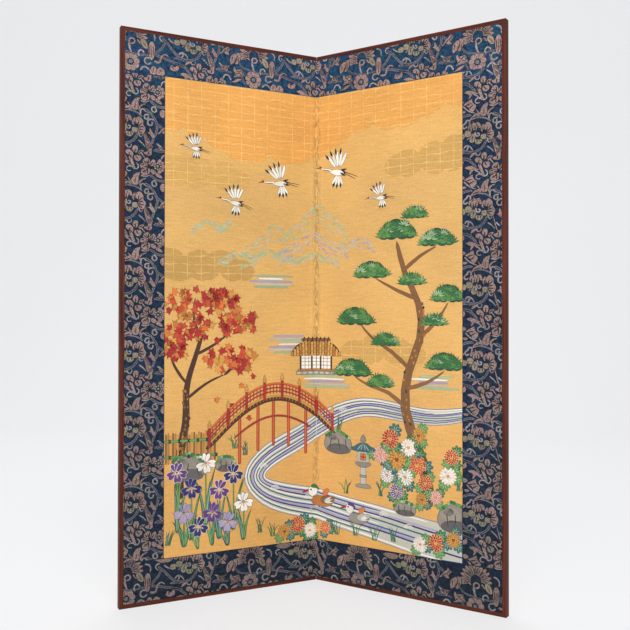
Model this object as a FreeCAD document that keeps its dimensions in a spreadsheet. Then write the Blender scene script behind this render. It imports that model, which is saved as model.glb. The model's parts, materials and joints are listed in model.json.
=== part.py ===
"""Two-panel byobu folding screen of woven brocade, in millimetres.

Each panel is a half-lapped cedar frame and lattice, pasted over with paper on both faces, dressed
in front with a woven picture inside a brocade border, and edged with thin stained wood on its three
free sides. The two panels are joined only by the cloth and the paper tape that run over the fold.

A panel is drawn in its own frame: X runs from the fold out to the free side, Y from the front face
to the back, Z up from the foot, and the fold's axis is the Z axis. The finished right panel is
turned about that axis to the angle at which the screen stands, and the left one is its mirror image.
The row's frame has +X to the viewer's right, +Y away from the viewer and the foot at zero height.
"""
import FreeCAD, Part
import os
import re

import Sketcher

V = FreeCAD.Vector

# Driving sizes in millimetres, an angle in degrees and counts
SIZES = {
    # the panel as a whole: 2 shaku high, 3/4 shaku wide
    "panel_height": 606.0,
    "panel_width": 227.0,
    "opening_angle": 121.0,
    # the cloth hinge: slit between the panels when they lie flat, and between the fronts when shut
    "fold_gap": 0.1,
    "closing_gap": 0.1,
    # stained edging, and how far it stands proud of the cloth and of the back paper
    "edging_width": 4.0,
    "edging_proud": 0.3,
    "edging_round": 0.4,
    # brocade and paper layers, from the front to the back
    "border_width": 43.0,
    "border_thickness": 0.6,
    "picture_thickness": 0.5,
    "front_lining_thickness": 0.8,
    "core_depth": 5.6,
    "back_lining_thickness": 0.5,
    "back_paper_thickness": 0.3,
    # hinge tape leaf on each panel, and the strip that closes the fold edge
    "tape_width": 18.0,
    "tape_thickness": 0.3,
    "edge_paper_thickness": 0.3,
    # core frame
    "stile_width": 12.0,
    "rail_width": 14.0,
    # lattice slats
    "slat_width": 7.0,
    "upright_count": 2,
    "cross_count": 6,
    # stub tenons of the slats, and the room past their ends
    "tenon_length": 3.0,
    "tenon_thickness": 2.4,
    "mortise_room": 0.4,
    # square double-pointed pins between edging and core, and the room round them in their bores
    "pin_length": 9.0,
    "pin_thickness": 0.9,
    "pin_point": 1.2,
    "pin_in_edging": 2.6,
    "pin_slack": 0.03,
    "pin_end_room": 0.2,
    "side_pin_count": 4,
    "end_pin_count": 2,
}

doc = FreeCAD.newDocument("FoldingScreen")
sheet = doc.addObject("Spreadsheet::Sheet", "Sizes")
for number, (alias, size) in enumerate(SIZES.items(), start=1):
    sheet.set(f"A{number}", alias)
    sheet.set(f"B{number}", str(size))
    sheet.setAlias(f"B{number}", alias)
doc.recompute()


def formula(words):
    """Give a formula written in plain size names the sheet's name before each of them."""
    return re.sub(r"[a-z]\w*", lambda found: f"Sizes.{found[0]}" if found[0] in SIZES else found[0], words)


def value(words):
    """Work out a formula from the sheet."""
    return float(sheet.evalExpression(formula(words)))


# Places across a panel, from the fold to the free side
FOLD = "(fold_gap / 2)"
CORE_START = f"({FOLD} + edge_paper_thickness)"
OUTSIDE = f"({FOLD} + panel_width)"
CORE_END = f"({OUTSIDE} - edging_width)"
BORDER_START = f"({CORE_END} - border_width)"
STILE_INNER = f"({CORE_START} + stile_width)"
OUTER_STILE_INNER = f"({CORE_END} - stile_width)"
TAPE_END = f"({FOLD} + tape_width)"

# Places up a panel
TOP = "panel_height"
CORE_LOW = "edging_width"
CORE_HIGH = f"({TOP} - edging_width)"
LOW_RAIL_INNER = f"({CORE_LOW} + rail_width)"
HIGH_RAIL_INNER = f"({CORE_HIGH} - rail_width)"
PICTURE_LOW = f"({CORE_LOW} + border_width)"
PICTURE_HIGH = f"({CORE_HIGH} - border_width)"

# Places through a panel, from the front face of the edging to its back face
EDGING_FRONT = "(closing_gap / 2)"
BORDER_FRONT = f"({EDGING_FRONT} + edging_proud)"
LINING_FRONT = f"({BORDER_FRONT} + border_thickness)"
PICTURE_FRONT = f"({LINING_FRONT} - picture_thickness)"
TAPE_BACK = f"({LINING_FRONT} + tape_thickness)"
CORE_FRONT = f"({LINING_FRONT} + front_lining_thickness)"
CORE_MIDDLE = f"({CORE_FRONT} + core_depth / 2)"
CORE_BACK = f"({CORE_FRONT} + core_depth)"
BACK_PAPER_FRONT = f"({CORE_BACK} + back_lining_thickness)"
PAPER_BACK = f"({BACK_PAPER_FRONT} + back_paper_thickness)"
EDGING_BACK = f"({PAPER_BACK} + edging_proud)"
EDGING_DEPTH = f"({EDGING_BACK} - {EDGING_FRONT})"

# Spacing of the lattice: even cells between the stiles and between the rails
CELL_ACROSS = f"(({OUTER_STILE_INNER} - {STILE_INNER}) / (upright_count + 1))"
CELL_UP = f"(({HIGH_RAIL_INNER} - {LOW_RAIL_INNER}) / (cross_count + 1))"
FIRST_UPRIGHT = f"({STILE_INNER} + {CELL_ACROSS})"
FIRST_CROSS = f"({LOW_RAIL_INNER} + {CELL_UP})"

# Spacing of the pins: the first and the last one sit in the middle of the end cells
SIDE_PIN_FIRST = f"({LOW_RAIL_INNER} + {CELL_UP} / 2)"
SIDE_PIN_STEP = f"({CELL_UP} * cross_count / (side_pin_count - 1))"
END_PIN_FIRST = f"({STILE_INNER} + {CELL_ACROSS} / 2)"
END_PIN_STEP = f"({CELL_ACROSS} * upright_count / (end_pin_count - 1))"
PIN_IN_CORE = "(pin_length - pin_in_edging)"

# The panel's turn out of the flat, and the axis of the fold that centres the standing screen's depth
LEAN = "((180 - opening_angle) / 2)"
REARMOST = f"({EDGING_BACK} * cos({LEAN}) - {FOLD} * sin({LEAN}))"
FOREMOST = (
    f"(({EDGING_FRONT} + edging_round) * cos({LEAN}) - ({OUTSIDE} - edging_round) * sin({LEAN})"
    " - edging_round)"
)
AXIS_DEPTH = f"(-({REARMOST} + {FOREMOST}) / 2)"
RIGHT_PLACE = f"placement(vector(0; {AXIS_DEPTH}; 0); rotation(vector(0; 0; 1); -{LEAN}))"

# The planes a sketch can lie on, and whether their offset runs with or against the panel's axis
ELEVATION = ("XZ_Plane", "-")
PLAN = ("XY_Plane", "")
END_VIEW = ("YZ_Plane", "")

pieces = []


def piece(name):
    """Start a piece of the right panel."""
    body = doc.addObject("PartDesign::Body", f"right_{name}")
    body.Label = f"right_{name}"
    body.AllowCompound = True
    body.setExpression("Placement", formula(RIGHT_PLACE))
    pieces.append(body)
    return body


def origin_part(body, role):
    """Find one of the body's own origin planes or axes."""
    return next(part for part in body.Origin.OriginFeatures if part.Role == role)


def sketch_on(body, name, plane, offset):
    """Lay a sketch on one of the body's planes, moved along its axis by an offset."""
    role, sign = plane
    sketch = body.newObject("Sketcher::SketchObject", f"{body.Name}_{name}")
    sketch.AttachmentSupport = [(origin_part(body, role), "")]
    sketch.MapMode = "FlatFace"
    sketch.setExpression("AttachmentOffset.Base.z", formula(f"{sign}{offset}"))
    return sketch


def hold(sketch, kind, geometry, point, words, name):
    """Fix a point's distance from a sketch axis by a formula, or put it on that axis for zero."""
    axis = -1 if kind == "DistanceY" else -2
    if words == "0":
        sketch.addConstraint(Sketcher.Constraint("PointOnObject", geometry, point, axis))
        return
    number = sketch.addConstraint(Sketcher.Constraint(kind, -1, 1, geometry, point, value(words)))
    sketch.renameConstraint(number, name)
    sketch.setExpression(f"Constraints.{name}", formula(words))


def polygon(sketch, corners):
    """Draw a closed outline whose corners are pairs of formulas."""
    first = sketch.GeometryCount
    spots = [V(value(across), value(up), 0) for across, up in corners]
    count = len(spots)
    for step in range(count):
        sketch.addGeometry(Part.LineSegment(spots[step], spots[(step + 1) % count]))
    for step in range(count):
        following = first + (step + 1) % count
        sketch.addConstraint(Sketcher.Constraint("Coincident", first + step, 2, following, 1))
    for step, (across, up) in enumerate(corners):
        hold(sketch, "DistanceX", first + step, 1, across, f"across_{first + step}")
        hold(sketch, "DistanceY", first + step, 1, up, f"up_{first + step}")


def rectangle(sketch, left, low, right, high):
    """Draw a rectangle between two opposite corners."""
    polygon(sketch, [(left, low), (right, low), (right, high), (left, high)])


def circle(sketch, across, up, radius):
    """Draw a circle with its centre and radius set by formulas."""
    geometry = sketch.addGeometry(Part.Circle(V(value(across), value(up), 0), V(0, 0, 1), value(radius)))
    hold(sketch, "DistanceX", geometry, 3, across, f"across_{geometry}")
    hold(sketch, "DistanceY", geometry, 3, up, f"up_{geometry}")
    number = sketch.addConstraint(Sketcher.Constraint("Radius", geometry, value(radius)))
    sketch.renameConstraint(number, f"radius_{geometry}")
    sketch.setExpression(f"Constraints.radius_{geometry}", formula(radius))


def pad(body, sketch, depth):
    """Fill a sketch drawn in elevation, from its plane towards the back."""
    feature = body.newObject("PartDesign::Pad", f"{sketch.Name}_pad")
    feature.Profile = sketch
    feature.Reversed = True
    feature.setExpression("Length", formula(depth))
    sketch.Visibility = False
    return feature


def pocket(body, sketch, depth, along_normal=False):
    """Cut a sketch into the body: towards the back, down or to the fold, or else the other way."""
    feature = body.newObject("PartDesign::Pocket", f"{sketch.Name}_pocket")
    feature.Profile = sketch
    feature.Reversed = along_normal
    feature.setExpression("Length", formula(depth))
    return feature


def repeat(body, feature, axis, step, count):
    """Repeat a feature in an even row along one of the body's axes."""
    row = body.newObject("PartDesign::LinearPattern", f"{feature.Name}_row")
    row.Originals = [feature]
    row.Direction = (origin_part(body, axis), [""])
    row.Mode = "Spacing"
    row.setExpression("Offset", formula(step))
    row.setExpression("Occurrences", formula(count))
    body.Tip = row
    return row


def layer(name, left, right, low, high, front, thickness):
    """Make a flat layer of cloth, paper or wood that fills a rectangle in elevation."""
    body = piece(name)
    sketch = sketch_on(body, "outline", ELEVATION, front)
    rectangle(sketch, left, low, right, high)
    pad(body, sketch, thickness)
    return body


# Core frame: stiles and rails, half lapped at the corners
def lap_ends(body, front, spans):
    """Halve a frame member's ends, leaving the other half for the member that it crosses."""
    sketch = sketch_on(body, "laps", ELEVATION, front)
    for left, low, right, high in spans:
        rectangle(sketch, left, low, right, high)
    pocket(body, sketch, "core_depth / 2")


def bore_row(body, plane, offset, centre, axis, step, count, depth, along_normal):
    """Bore a row of blind holes for the pins."""
    sketch = sketch_on(body, "bore", plane, offset)
    circle(sketch, *centre, PIN_BORE_RADIUS)
    repeat(body, pocket(body, sketch, depth, along_normal), axis, step, count)


def mortise_row(body, plane, offset, corners, axis, step, count, along_normal):
    """Cut a row of blind mortises for the slats' stub tenons."""
    sketch = sketch_on(body, "mortise", plane, offset)
    rectangle(sketch, *corners)
    feature = pocket(body, sketch, "tenon_length + mortise_room", along_normal)
    repeat(body, feature, axis, step, count)


TENON_FRONT = f"({CORE_MIDDLE} - tenon_thickness / 2)"
TENON_BACK = f"({CORE_MIDDLE} + tenon_thickness / 2)"
PIN_BORE_RADIUS = "pin_thickness / 2 * sqrt(2) + pin_slack"
CORE_BORE = f"{PIN_IN_CORE} + pin_end_room"
EDGING_BORE = "pin_in_edging + pin_end_room"
SIDE_PIN_ROW = ("Z_Axis", SIDE_PIN_STEP, "side_pin_count")
END_PIN_ROW = ("X_Axis", END_PIN_STEP, "end_pin_count")
SIDE_PIN_CENTRE = (CORE_MIDDLE, SIDE_PIN_FIRST)
END_PIN_CENTRE = (END_PIN_FIRST, CORE_MIDDLE)


def stile(name, left, right, inner, mortise_outwards):
    """Make an upright frame member, halved in front at both ends and mortised for the cross slats."""
    body = layer(name, left, right, CORE_LOW, CORE_HIGH, CORE_FRONT, "core_depth")
    lap_ends(body, CORE_FRONT, [
        (left, CORE_LOW, right, LOW_RAIL_INNER),
        (left, HIGH_RAIL_INNER, right, CORE_HIGH),
    ])
    low = f"{FIRST_CROSS} - slat_width / 2"
    high = f"{FIRST_CROSS} + slat_width / 2"
    corners = (TENON_FRONT, low, TENON_BACK, high)
    mortise_row(body, END_VIEW, inner, corners, "Z_Axis", CELL_UP, "cross_count", mortise_outwards)
    return body


def rail(name, low, high, inner, outer, towards_top):
    """Make a level frame member, halved behind at both ends, mortised for the uprights and bored."""
    body = layer(name, CORE_START, CORE_END, low, high, CORE_FRONT, "core_depth")
    lap_ends(body, CORE_MIDDLE, [
        (CORE_START, low, STILE_INNER, high),
        (OUTER_STILE_INNER, low, CORE_END, high),
    ])
    left = f"{FIRST_UPRIGHT} - slat_width / 2"
    right = f"{FIRST_UPRIGHT} + slat_width / 2"
    corners = (left, TENON_FRONT, right, TENON_BACK)
    mortise_row(body, PLAN, inner, corners, "X_Axis", CELL_ACROSS, "upright_count", towards_top)
    bore_row(body, PLAN, outer, END_PIN_CENTRE, *END_PIN_ROW, CORE_BORE, not towards_top)
    return body


stile("fold_stile", CORE_START, STILE_INNER, STILE_INNER, False)
outer_stile = stile("outer_stile", OUTER_STILE_INNER, CORE_END, OUTER_STILE_INNER, True)
bore_row(outer_stile, END_VIEW, CORE_END, SIDE_PIN_CENTRE, *SIDE_PIN_ROW, CORE_BORE, False)
rail("top_rail", HIGH_RAIL_INNER, CORE_HIGH, HIGH_RAIL_INNER, CORE_HIGH, True)
rail("bottom_rail", CORE_LOW, LOW_RAIL_INNER, LOW_RAIL_INNER, CORE_LOW, False)


# Lattice: slats half lapped over each other, with a stub tenon at each end
def tenon_cheeks(body, ends):
    """Thin the slats' ends from both faces, so that a stub tenon is left in the middle."""
    for side, front in (("front", CORE_FRONT), ("back", TENON_BACK)):
        sketch = sketch_on(body, f"{side}_cheeks", ELEVATION, front)
        for corners in ends:
            rectangle(sketch, *corners)
        pocket(body, sketch, "(core_depth - tenon_thickness) / 2")


def half_laps(body, front, corners, axis, step, count):
    """Notch the slats to half their depth where the other slats cross them."""
    sketch = sketch_on(body, "crossing", ELEVATION, front)
    rectangle(sketch, *corners)
    repeat(body, pocket(body, sketch, "core_depth / 2"), axis, step, count)


UPRIGHT_LEFT = f"({FIRST_UPRIGHT} - slat_width / 2)"
UPRIGHT_RIGHT = f"({FIRST_UPRIGHT} + slat_width / 2)"
UPRIGHT_LOW = f"({LOW_RAIL_INNER} - tenon_length)"
UPRIGHT_HIGH = f"({HIGH_RAIL_INNER} + tenon_length)"
CROSS_LOW = f"({FIRST_CROSS} - slat_width / 2)"
CROSS_HIGH = f"({FIRST_CROSS} + slat_width / 2)"
CROSS_START = f"({STILE_INNER} - tenon_length)"
CROSS_END = f"({OUTER_STILE_INNER} + tenon_length)"

uprights = piece("upright_slats")
upright_outline = sketch_on(uprights, "outline", ELEVATION, CORE_FRONT)
rectangle(upright_outline, UPRIGHT_LEFT, UPRIGHT_LOW, UPRIGHT_RIGHT, UPRIGHT_HIGH)
repeat(uprights, pad(uprights, upright_outline, "core_depth"), "X_Axis", CELL_ACROSS, "upright_count")
tenon_cheeks(uprights, [
    (CORE_START, UPRIGHT_LOW, CORE_END, LOW_RAIL_INNER),
    (CORE_START, HIGH_RAIL_INNER, CORE_END, UPRIGHT_HIGH),
])
level_band = (CORE_START, CROSS_LOW, CORE_END, CROSS_HIGH)
half_laps(uprights, CORE_FRONT, level_band, "Z_Axis", CELL_UP, "cross_count")

crosses = piece("cross_slats")
cross_outline = sketch_on(crosses, "outline", ELEVATION, CORE_FRONT)
rectangle(cross_outline, CROSS_START, CROSS_LOW, CROSS_END, CROSS_HIGH)
repeat(crosses, pad(crosses, cross_outline, "core_depth"), "Z_Axis", CELL_UP, "cross_count")
tenon_cheeks(crosses, [
    (CROSS_START, CORE_LOW, STILE_INNER, CORE_HIGH),
    (OUTER_STILE_INNER, CORE_LOW, CROSS_END, CORE_HIGH),
])
upright_band = (UPRIGHT_LEFT, CORE_LOW, UPRIGHT_RIGHT, CORE_HIGH)
half_laps(crosses, CORE_MIDDLE, upright_band, "X_Axis", CELL_ACROSS, "upright_count")


# Paper layers and the hinge tape
lining = layer("front_lining", CORE_START, CORE_END, CORE_LOW, CORE_HIGH, LINING_FRONT,
               "front_lining_thickness")
rebate = sketch_on(lining, "tape_rebate", ELEVATION, LINING_FRONT)
rectangle(rebate, CORE_START, CORE_LOW, TAPE_END, CORE_HIGH)
pocket(lining, rebate, "tape_thickness")

layer("back_lining", CORE_START, CORE_END, CORE_LOW, CORE_HIGH, CORE_BACK, "back_lining_thickness")
layer("back_paper", CORE_START, CORE_END, CORE_LOW, CORE_HIGH, BACK_PAPER_FRONT, "back_paper_thickness")
layer("fold_edge_paper", FOLD, CORE_START, CORE_LOW, CORE_HIGH, TAPE_BACK, f"{PAPER_BACK} - {TAPE_BACK}")
layer("hinge_tape", FOLD, TAPE_END, CORE_LOW, CORE_HIGH, LINING_FRONT, "tape_thickness")

# Woven cloth: each leaf of the picture and of the bands ends at the fold, where the real cloth runs on
layer("picture", FOLD, BORDER_START, PICTURE_LOW, PICTURE_HIGH, PICTURE_FRONT, "picture_thickness")
layer("top_border", FOLD, CORE_END, PICTURE_HIGH, CORE_HIGH, BORDER_FRONT, "border_thickness")
layer("bottom_border", FOLD, CORE_END, CORE_LOW, PICTURE_LOW, BORDER_FRONT, "border_thickness")
layer("side_border", BORDER_START, CORE_END, PICTURE_LOW, PICTURE_HIGH, BORDER_FRONT, "border_thickness")


# Edging: three mitred strips with eased outer arrises, bored for the hidden pins
def outer_arrises(strip, side):
    """Name the two long edges on a strip's outer side, which lie farthest towards that side."""
    reaches = [
        (edge.CenterOfMass.dot(side), number)
        for number, edge in enumerate(strip.Edges, start=1)
        if edge.BoundBox.YLength < edge.Length / 2
    ]
    return [f"Edge{number}" for reach, number in sorted(reaches)[-2:]]


def edging(name, corners, side):
    """Make one edging strip from its mitred outline and ease the arrises on its outer side."""
    body = piece(name)
    sketch = sketch_on(body, "outline", ELEVATION, EDGING_FRONT)
    polygon(sketch, corners)
    strip = pad(body, sketch, EDGING_DEPTH)
    doc.recompute()
    ease = body.newObject("PartDesign::Fillet", f"{body.Name}_ease")
    ease.Base = (strip, outer_arrises(strip.Shape, side))
    ease.setExpression("Radius", formula("edging_round"))
    return body


outer_edging = edging(
    "outer_edging",
    [(CORE_END, CORE_LOW), (OUTSIDE, "0"), (OUTSIDE, TOP), (CORE_END, CORE_HIGH)],
    V(1, 0, 0),
)
bore_row(outer_edging, END_VIEW, CORE_END, SIDE_PIN_CENTRE, *SIDE_PIN_ROW, EDGING_BORE, True)

top_edging = edging(
    "top_edging",
    [(FOLD, CORE_HIGH), (CORE_END, CORE_HIGH), (OUTSIDE, TOP), (FOLD, TOP)],
    V(0, 0, 1),
)
bore_row(top_edging, PLAN, CORE_HIGH, END_PIN_CENTRE, *END_PIN_ROW, EDGING_BORE, True)

bottom_edging = edging(
    "bottom_edging",
    [(FOLD, "0"), (OUTSIDE, "0"), (CORE_END, CORE_LOW), (FOLD, CORE_LOW)],
    V(0, 0, -1),
)
bore_row(bottom_edging, PLAN, CORE_LOW, END_PIN_CENTRE, *END_PIN_ROW, EDGING_BORE, False)


# Double-pointed square pins, partly in the edging and partly in the core
def pin_row(body, name, tips, lies_level, row):
    """Draw a chisel-pointed pin between its two tips, fill it to its thickness and repeat it."""
    (left, low), (right, high) = tips
    half = "pin_thickness / 2"
    if lies_level:
        upper = [(f"{right} - pin_point", f"{high} + {half}"), (f"{left} + pin_point", f"{low} + {half}")]
        lower = [(f"{left} + pin_point", f"{low} - {half}"), (f"{right} - pin_point", f"{high} - {half}")]
    else:
        upper = [(f"{right} - {half}", f"{high} - pin_point"), (f"{left} - {half}", f"{low} + pin_point")]
        lower = [(f"{left} + {half}", f"{low} + pin_point"), (f"{right} + {half}", f"{high} - pin_point")]
    sketch = sketch_on(body, name, ELEVATION, f"({CORE_MIDDLE} - {half})")
    polygon(sketch, [tips[1], *upper, tips[0], *lower])
    repeat(body, pad(body, sketch, "pin_thickness"), *row)


pins = piece("edging_pins")
SIDE_PIN_END = f"({CORE_END} + pin_in_edging)"
TOP_PIN_END = f"({CORE_HIGH} + pin_in_edging)"
FOOT_PIN_END = f"({CORE_LOW} - pin_in_edging)"
side_tips = [(f"({SIDE_PIN_END} - pin_length)", SIDE_PIN_FIRST), (SIDE_PIN_END, SIDE_PIN_FIRST)]
top_tips = [(END_PIN_FIRST, f"({TOP_PIN_END} - pin_length)"), (END_PIN_FIRST, TOP_PIN_END)]
foot_tips = [(END_PIN_FIRST, FOOT_PIN_END), (END_PIN_FIRST, f"({FOOT_PIN_END} + pin_length)")]
pin_row(pins, "side_pin", side_tips, True, SIDE_PIN_ROW)
pin_row(pins, "top_pin", top_tips, False, END_PIN_ROW)
pin_row(pins, "foot_pin", foot_tips, False, END_PIN_ROW)

doc.recompute()

# Left panel: the mirror image of the right one, across the plane through the fold
for right_piece in list(pieces):
    left_name = f"left_{right_piece.Label.removeprefix('right_')}"
    mirrored = doc.addObject("Part::Mirroring", left_name)
    mirrored.Label = left_name
    mirrored.Source = right_piece
    mirrored.Base = V(0, 0, 0)
    mirrored.Normal = V(1, 0, 0)
    pieces.append(mirrored)

doc.recompute()

# Every object has to be sound before anything is written
for thing in doc.Objects:
    if "Invalid" in thing.State or "Error" in thing.State:
        raise RuntimeError(f"{thing.Label} did not recompute: {thing.State}")
for thing in pieces:
    if thing.Shape.isNull() or not thing.Shape.isValid() or not thing.Shape.Solids:
        raise RuntimeError(f"{thing.Label} has no sound solid")

os.makedirs("parts", exist_ok=True)
for thing in pieces:
    thing.Shape.exportStep(f"parts/{thing.Label}.step")
    print(f"{thing.Label}: {len(thing.Shape.Solids)} solid(s), {thing.Shape.Volume:.1f} mm3")
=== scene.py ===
# %% [markdown]
# # A two-panel brocade folding screen
# The real object is a table-top byobu: two papered lattice panels, dressed with one woven picture and
# a navy brocade border, and edged in thin reddish-brown wood. The construction comes in as a fixed
# frame. This lesson dresses it: every cloth is laid out flat first, as it leaves the loom, and is then
# carried onto the standing screen and round its fold by one function.

# %% Load the frame
import json
import math
import random

import bmesh
import bpy
from mathutils import Matrix, Vector
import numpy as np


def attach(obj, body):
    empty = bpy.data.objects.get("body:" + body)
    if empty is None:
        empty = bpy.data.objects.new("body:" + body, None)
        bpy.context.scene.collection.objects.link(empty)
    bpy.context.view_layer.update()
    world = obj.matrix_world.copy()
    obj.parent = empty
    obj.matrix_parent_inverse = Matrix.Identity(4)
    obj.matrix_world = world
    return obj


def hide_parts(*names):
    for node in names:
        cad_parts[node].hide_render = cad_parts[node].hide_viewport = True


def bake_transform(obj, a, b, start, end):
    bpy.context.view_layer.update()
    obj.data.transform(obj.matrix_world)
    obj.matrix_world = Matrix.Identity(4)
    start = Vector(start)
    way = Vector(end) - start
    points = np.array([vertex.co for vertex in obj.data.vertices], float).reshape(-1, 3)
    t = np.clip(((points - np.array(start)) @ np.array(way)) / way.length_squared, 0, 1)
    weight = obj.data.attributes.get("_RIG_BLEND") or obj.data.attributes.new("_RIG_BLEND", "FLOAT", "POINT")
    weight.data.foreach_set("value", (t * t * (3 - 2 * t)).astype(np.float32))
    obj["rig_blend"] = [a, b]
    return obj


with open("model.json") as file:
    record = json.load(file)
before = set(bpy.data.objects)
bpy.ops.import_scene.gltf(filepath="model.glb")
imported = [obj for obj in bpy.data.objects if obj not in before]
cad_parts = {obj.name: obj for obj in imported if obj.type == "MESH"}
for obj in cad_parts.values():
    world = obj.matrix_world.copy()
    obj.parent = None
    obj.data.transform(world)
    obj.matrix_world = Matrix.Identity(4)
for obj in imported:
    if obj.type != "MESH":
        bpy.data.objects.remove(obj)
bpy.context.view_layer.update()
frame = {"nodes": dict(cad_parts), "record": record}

MM = 0.001

# %% [markdown]
# ## Where the fold is
# Both panels are drawn in a frame of their own: "across" runs from the fold to the free side, "depth"
# from the front to the back and "up" from the foot. The hinge joint says where the fold stands and
# how far the screen is open, so the two frames are worked out from it and nothing is measured twice.

# %% The panel's own frame
fold = frame["record"]["behaviour"]["joints"][0]
AXIS = Vector((*fold["pos_m"][:2], 0))
OPENING = -math.radians(fold["range_deg"][0])
LEAN = (math.pi - OPENING) / 2
TURN_BACK = Matrix.Rotation(LEAN, 3, "Z")


def panel_box(node):
    """Give a right-hand node's lowest and highest corner in the panel's own frame."""
    spots = [TURN_BACK @ (vertex.co - AXIS) for vertex in frame["nodes"][node].data.vertices]
    low = Vector([min(spot[side] for spot in spots) for side in range(3)])
    high = Vector([max(spot[side] for spot in spots) for side in range(3)])
    return low, high


picture_low, picture_high = panel_box("right_picture")
band_low, band_high = panel_box("right_top_border")
side_low, side_high = panel_box("right_side_border")
foot_band_low, foot_band_high = panel_box("right_bottom_border")
tape_low, tape_high = panel_box("right_hinge_tape")
print("picture", round(2 * picture_high.x, 4), "by", round(picture_high.z - picture_low.z, 4))

# %% [markdown]
# ## From the flat cloth to the standing screen
# A cloth that runs over the fold can't turn a knife-sharp corner. It bridges the fold in a small arc,
# tangent to both panels. All layers share the arc's centre, so a thread that lies on a cloth stays on
# it. Flat coordinates go in: the distance from the fold, negative on the left, the depth behind the
# hinge's axis and the height.

# %% Carry a flat point onto the screen
FOLD_RADIUS = 0.9 * MM
ARC_CENTRE = (FOLD_RADIUS - picture_low.y) / math.cos(LEAN)
ARC_ACROSS = ARC_CENTRE * math.sin(LEAN)
CREASES_FROM, CREASES_TO = 0.8, 11.0


def on_panel(across, depth, up):
    """Place a point of the right panel, or of the left one for a negative distance, in the row frame."""
    side = -1 if across < 0 else 1
    reach = abs(across)
    x = reach * math.cos(LEAN) + depth * math.sin(LEAN)
    y = depth * math.cos(LEAN) - reach * math.sin(LEAN)
    return Vector((side * x, AXIS.y + y, up))


def on_cloth(across, depth, up):
    """Place a point of a cloth that bridges the fold."""
    if abs(across) >= ARC_ACROSS:
        return on_panel(across, depth, up)
    radius = depth + ARC_CENTRE * math.cos(LEAN)
    angle = across / ARC_ACROSS * LEAN
    return Vector((radius * math.sin(angle), AXIS.y - ARC_CENTRE + radius * math.cos(angle), up))


def creases(across, up):
    """Say how far the picture cloth stands forward in the fine upright creases beside the fold."""
    distance = abs(across) / MM
    if distance > CREASES_TO or distance < CREASES_FROM:
        return 0.0
    drift = 0.9 * math.sin(up / MM / 23 + across * 90) + 0.6 * math.sin(up / MM / 9.1)
    ripple = math.sin((distance + drift) * 2.1) * math.sin(up / MM / 6.3 + distance * 1.7)
    fade = math.sin(math.pi * (distance - CREASES_FROM) / (CREASES_TO - CREASES_FROM))
    return (0.03 + 0.05 * ripple) * fade * MM


print("fold arc of", round(FOLD_RADIUS / MM, 2), "mm, lean", round(math.degrees(LEAN), 2), "degrees")

# %% [markdown]
# ## Camera
# The photograph was taken level, at about the screen's mid height and a little to the right of the
# fold. Sixteen measured corners gave the place, the direction and the focal length below.

# %% Camera at the photograph's viewing angle
IMAGE_WIDTH = 630
FOCAL_PIXELS = 812.7
CAMERA_PLACE = (0.05087, -0.88941, 0.29719)
CAMERA_FORWARD = Vector((-0.05572, 0.9984, 0.00927))
CAMERA_UP = Vector((-0.00084, -0.00933, 0.99996))
camera_data = bpy.data.cameras.new("photograph_camera")
camera_data.sensor_width = 36
camera_data.lens = FOCAL_PIXELS / IMAGE_WIDTH * camera_data.sensor_width
camera_data.clip_start = 0.05
camera = bpy.data.objects.new("photograph_camera", camera_data)
bpy.context.scene.collection.objects.link(camera)
forward = CAMERA_FORWARD.normalized()
right = forward.cross(CAMERA_UP).normalized()
up_axis = right.cross(forward)
axes = Matrix((right, up_axis, -forward)).transposed()
camera.matrix_world = Matrix.Translation(CAMERA_PLACE) @ axes.to_4x4()
bpy.context.scene.camera = camera
print("lens of", round(camera_data.lens, 2), "mm at", [round(part, 2) for part in CAMERA_PLACE])

# %% [markdown]
# ## Studio
# A pale sheet sweeps up behind the screen, so no horizon shows. One large soft lamp stands above the
# camera, a second one fills from the left, a third lights the papered backs, and the world lifts the
# rest. Together they light a surface at about the level its colour is written at.

# %% Floor, backdrop and lights
FLOOR_FRONT, FLOOR_BACK = -1.6, 1.3
BEND_RADIUS = 0.6
WALL_HEIGHT = 2.0


def node(tree, kind, inputs=None, **settings):
    """Add a shader node, set it up and wire or fill its inputs."""
    made = tree.nodes.new(kind)
    for name, setting in settings.items():
        setattr(made, name, setting)
    for socket, source in (inputs or {}).items():
        if isinstance(source, bpy.types.NodeSocket):
            tree.links.new(source, made.inputs[socket])
        else:
            made.inputs[socket].default_value = source
    return made


def colour(red, green, blue):
    """Turn a colour as a screen shows it, 0 to 255, into the linear one that a shader takes."""
    shares = [channel / 255 for channel in (red, green, blue)]
    return (*[s / 12.92 if s <= 0.04045 else ((s + 0.055) / 1.055) ** 2.4 for s in shares], 1.0)


def add_object(name, mesh):
    """Link a mesh to the scene as a new object at the origin."""
    made = bpy.data.objects.new(name, mesh)
    bpy.context.scene.collection.objects.link(made)
    return made


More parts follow.
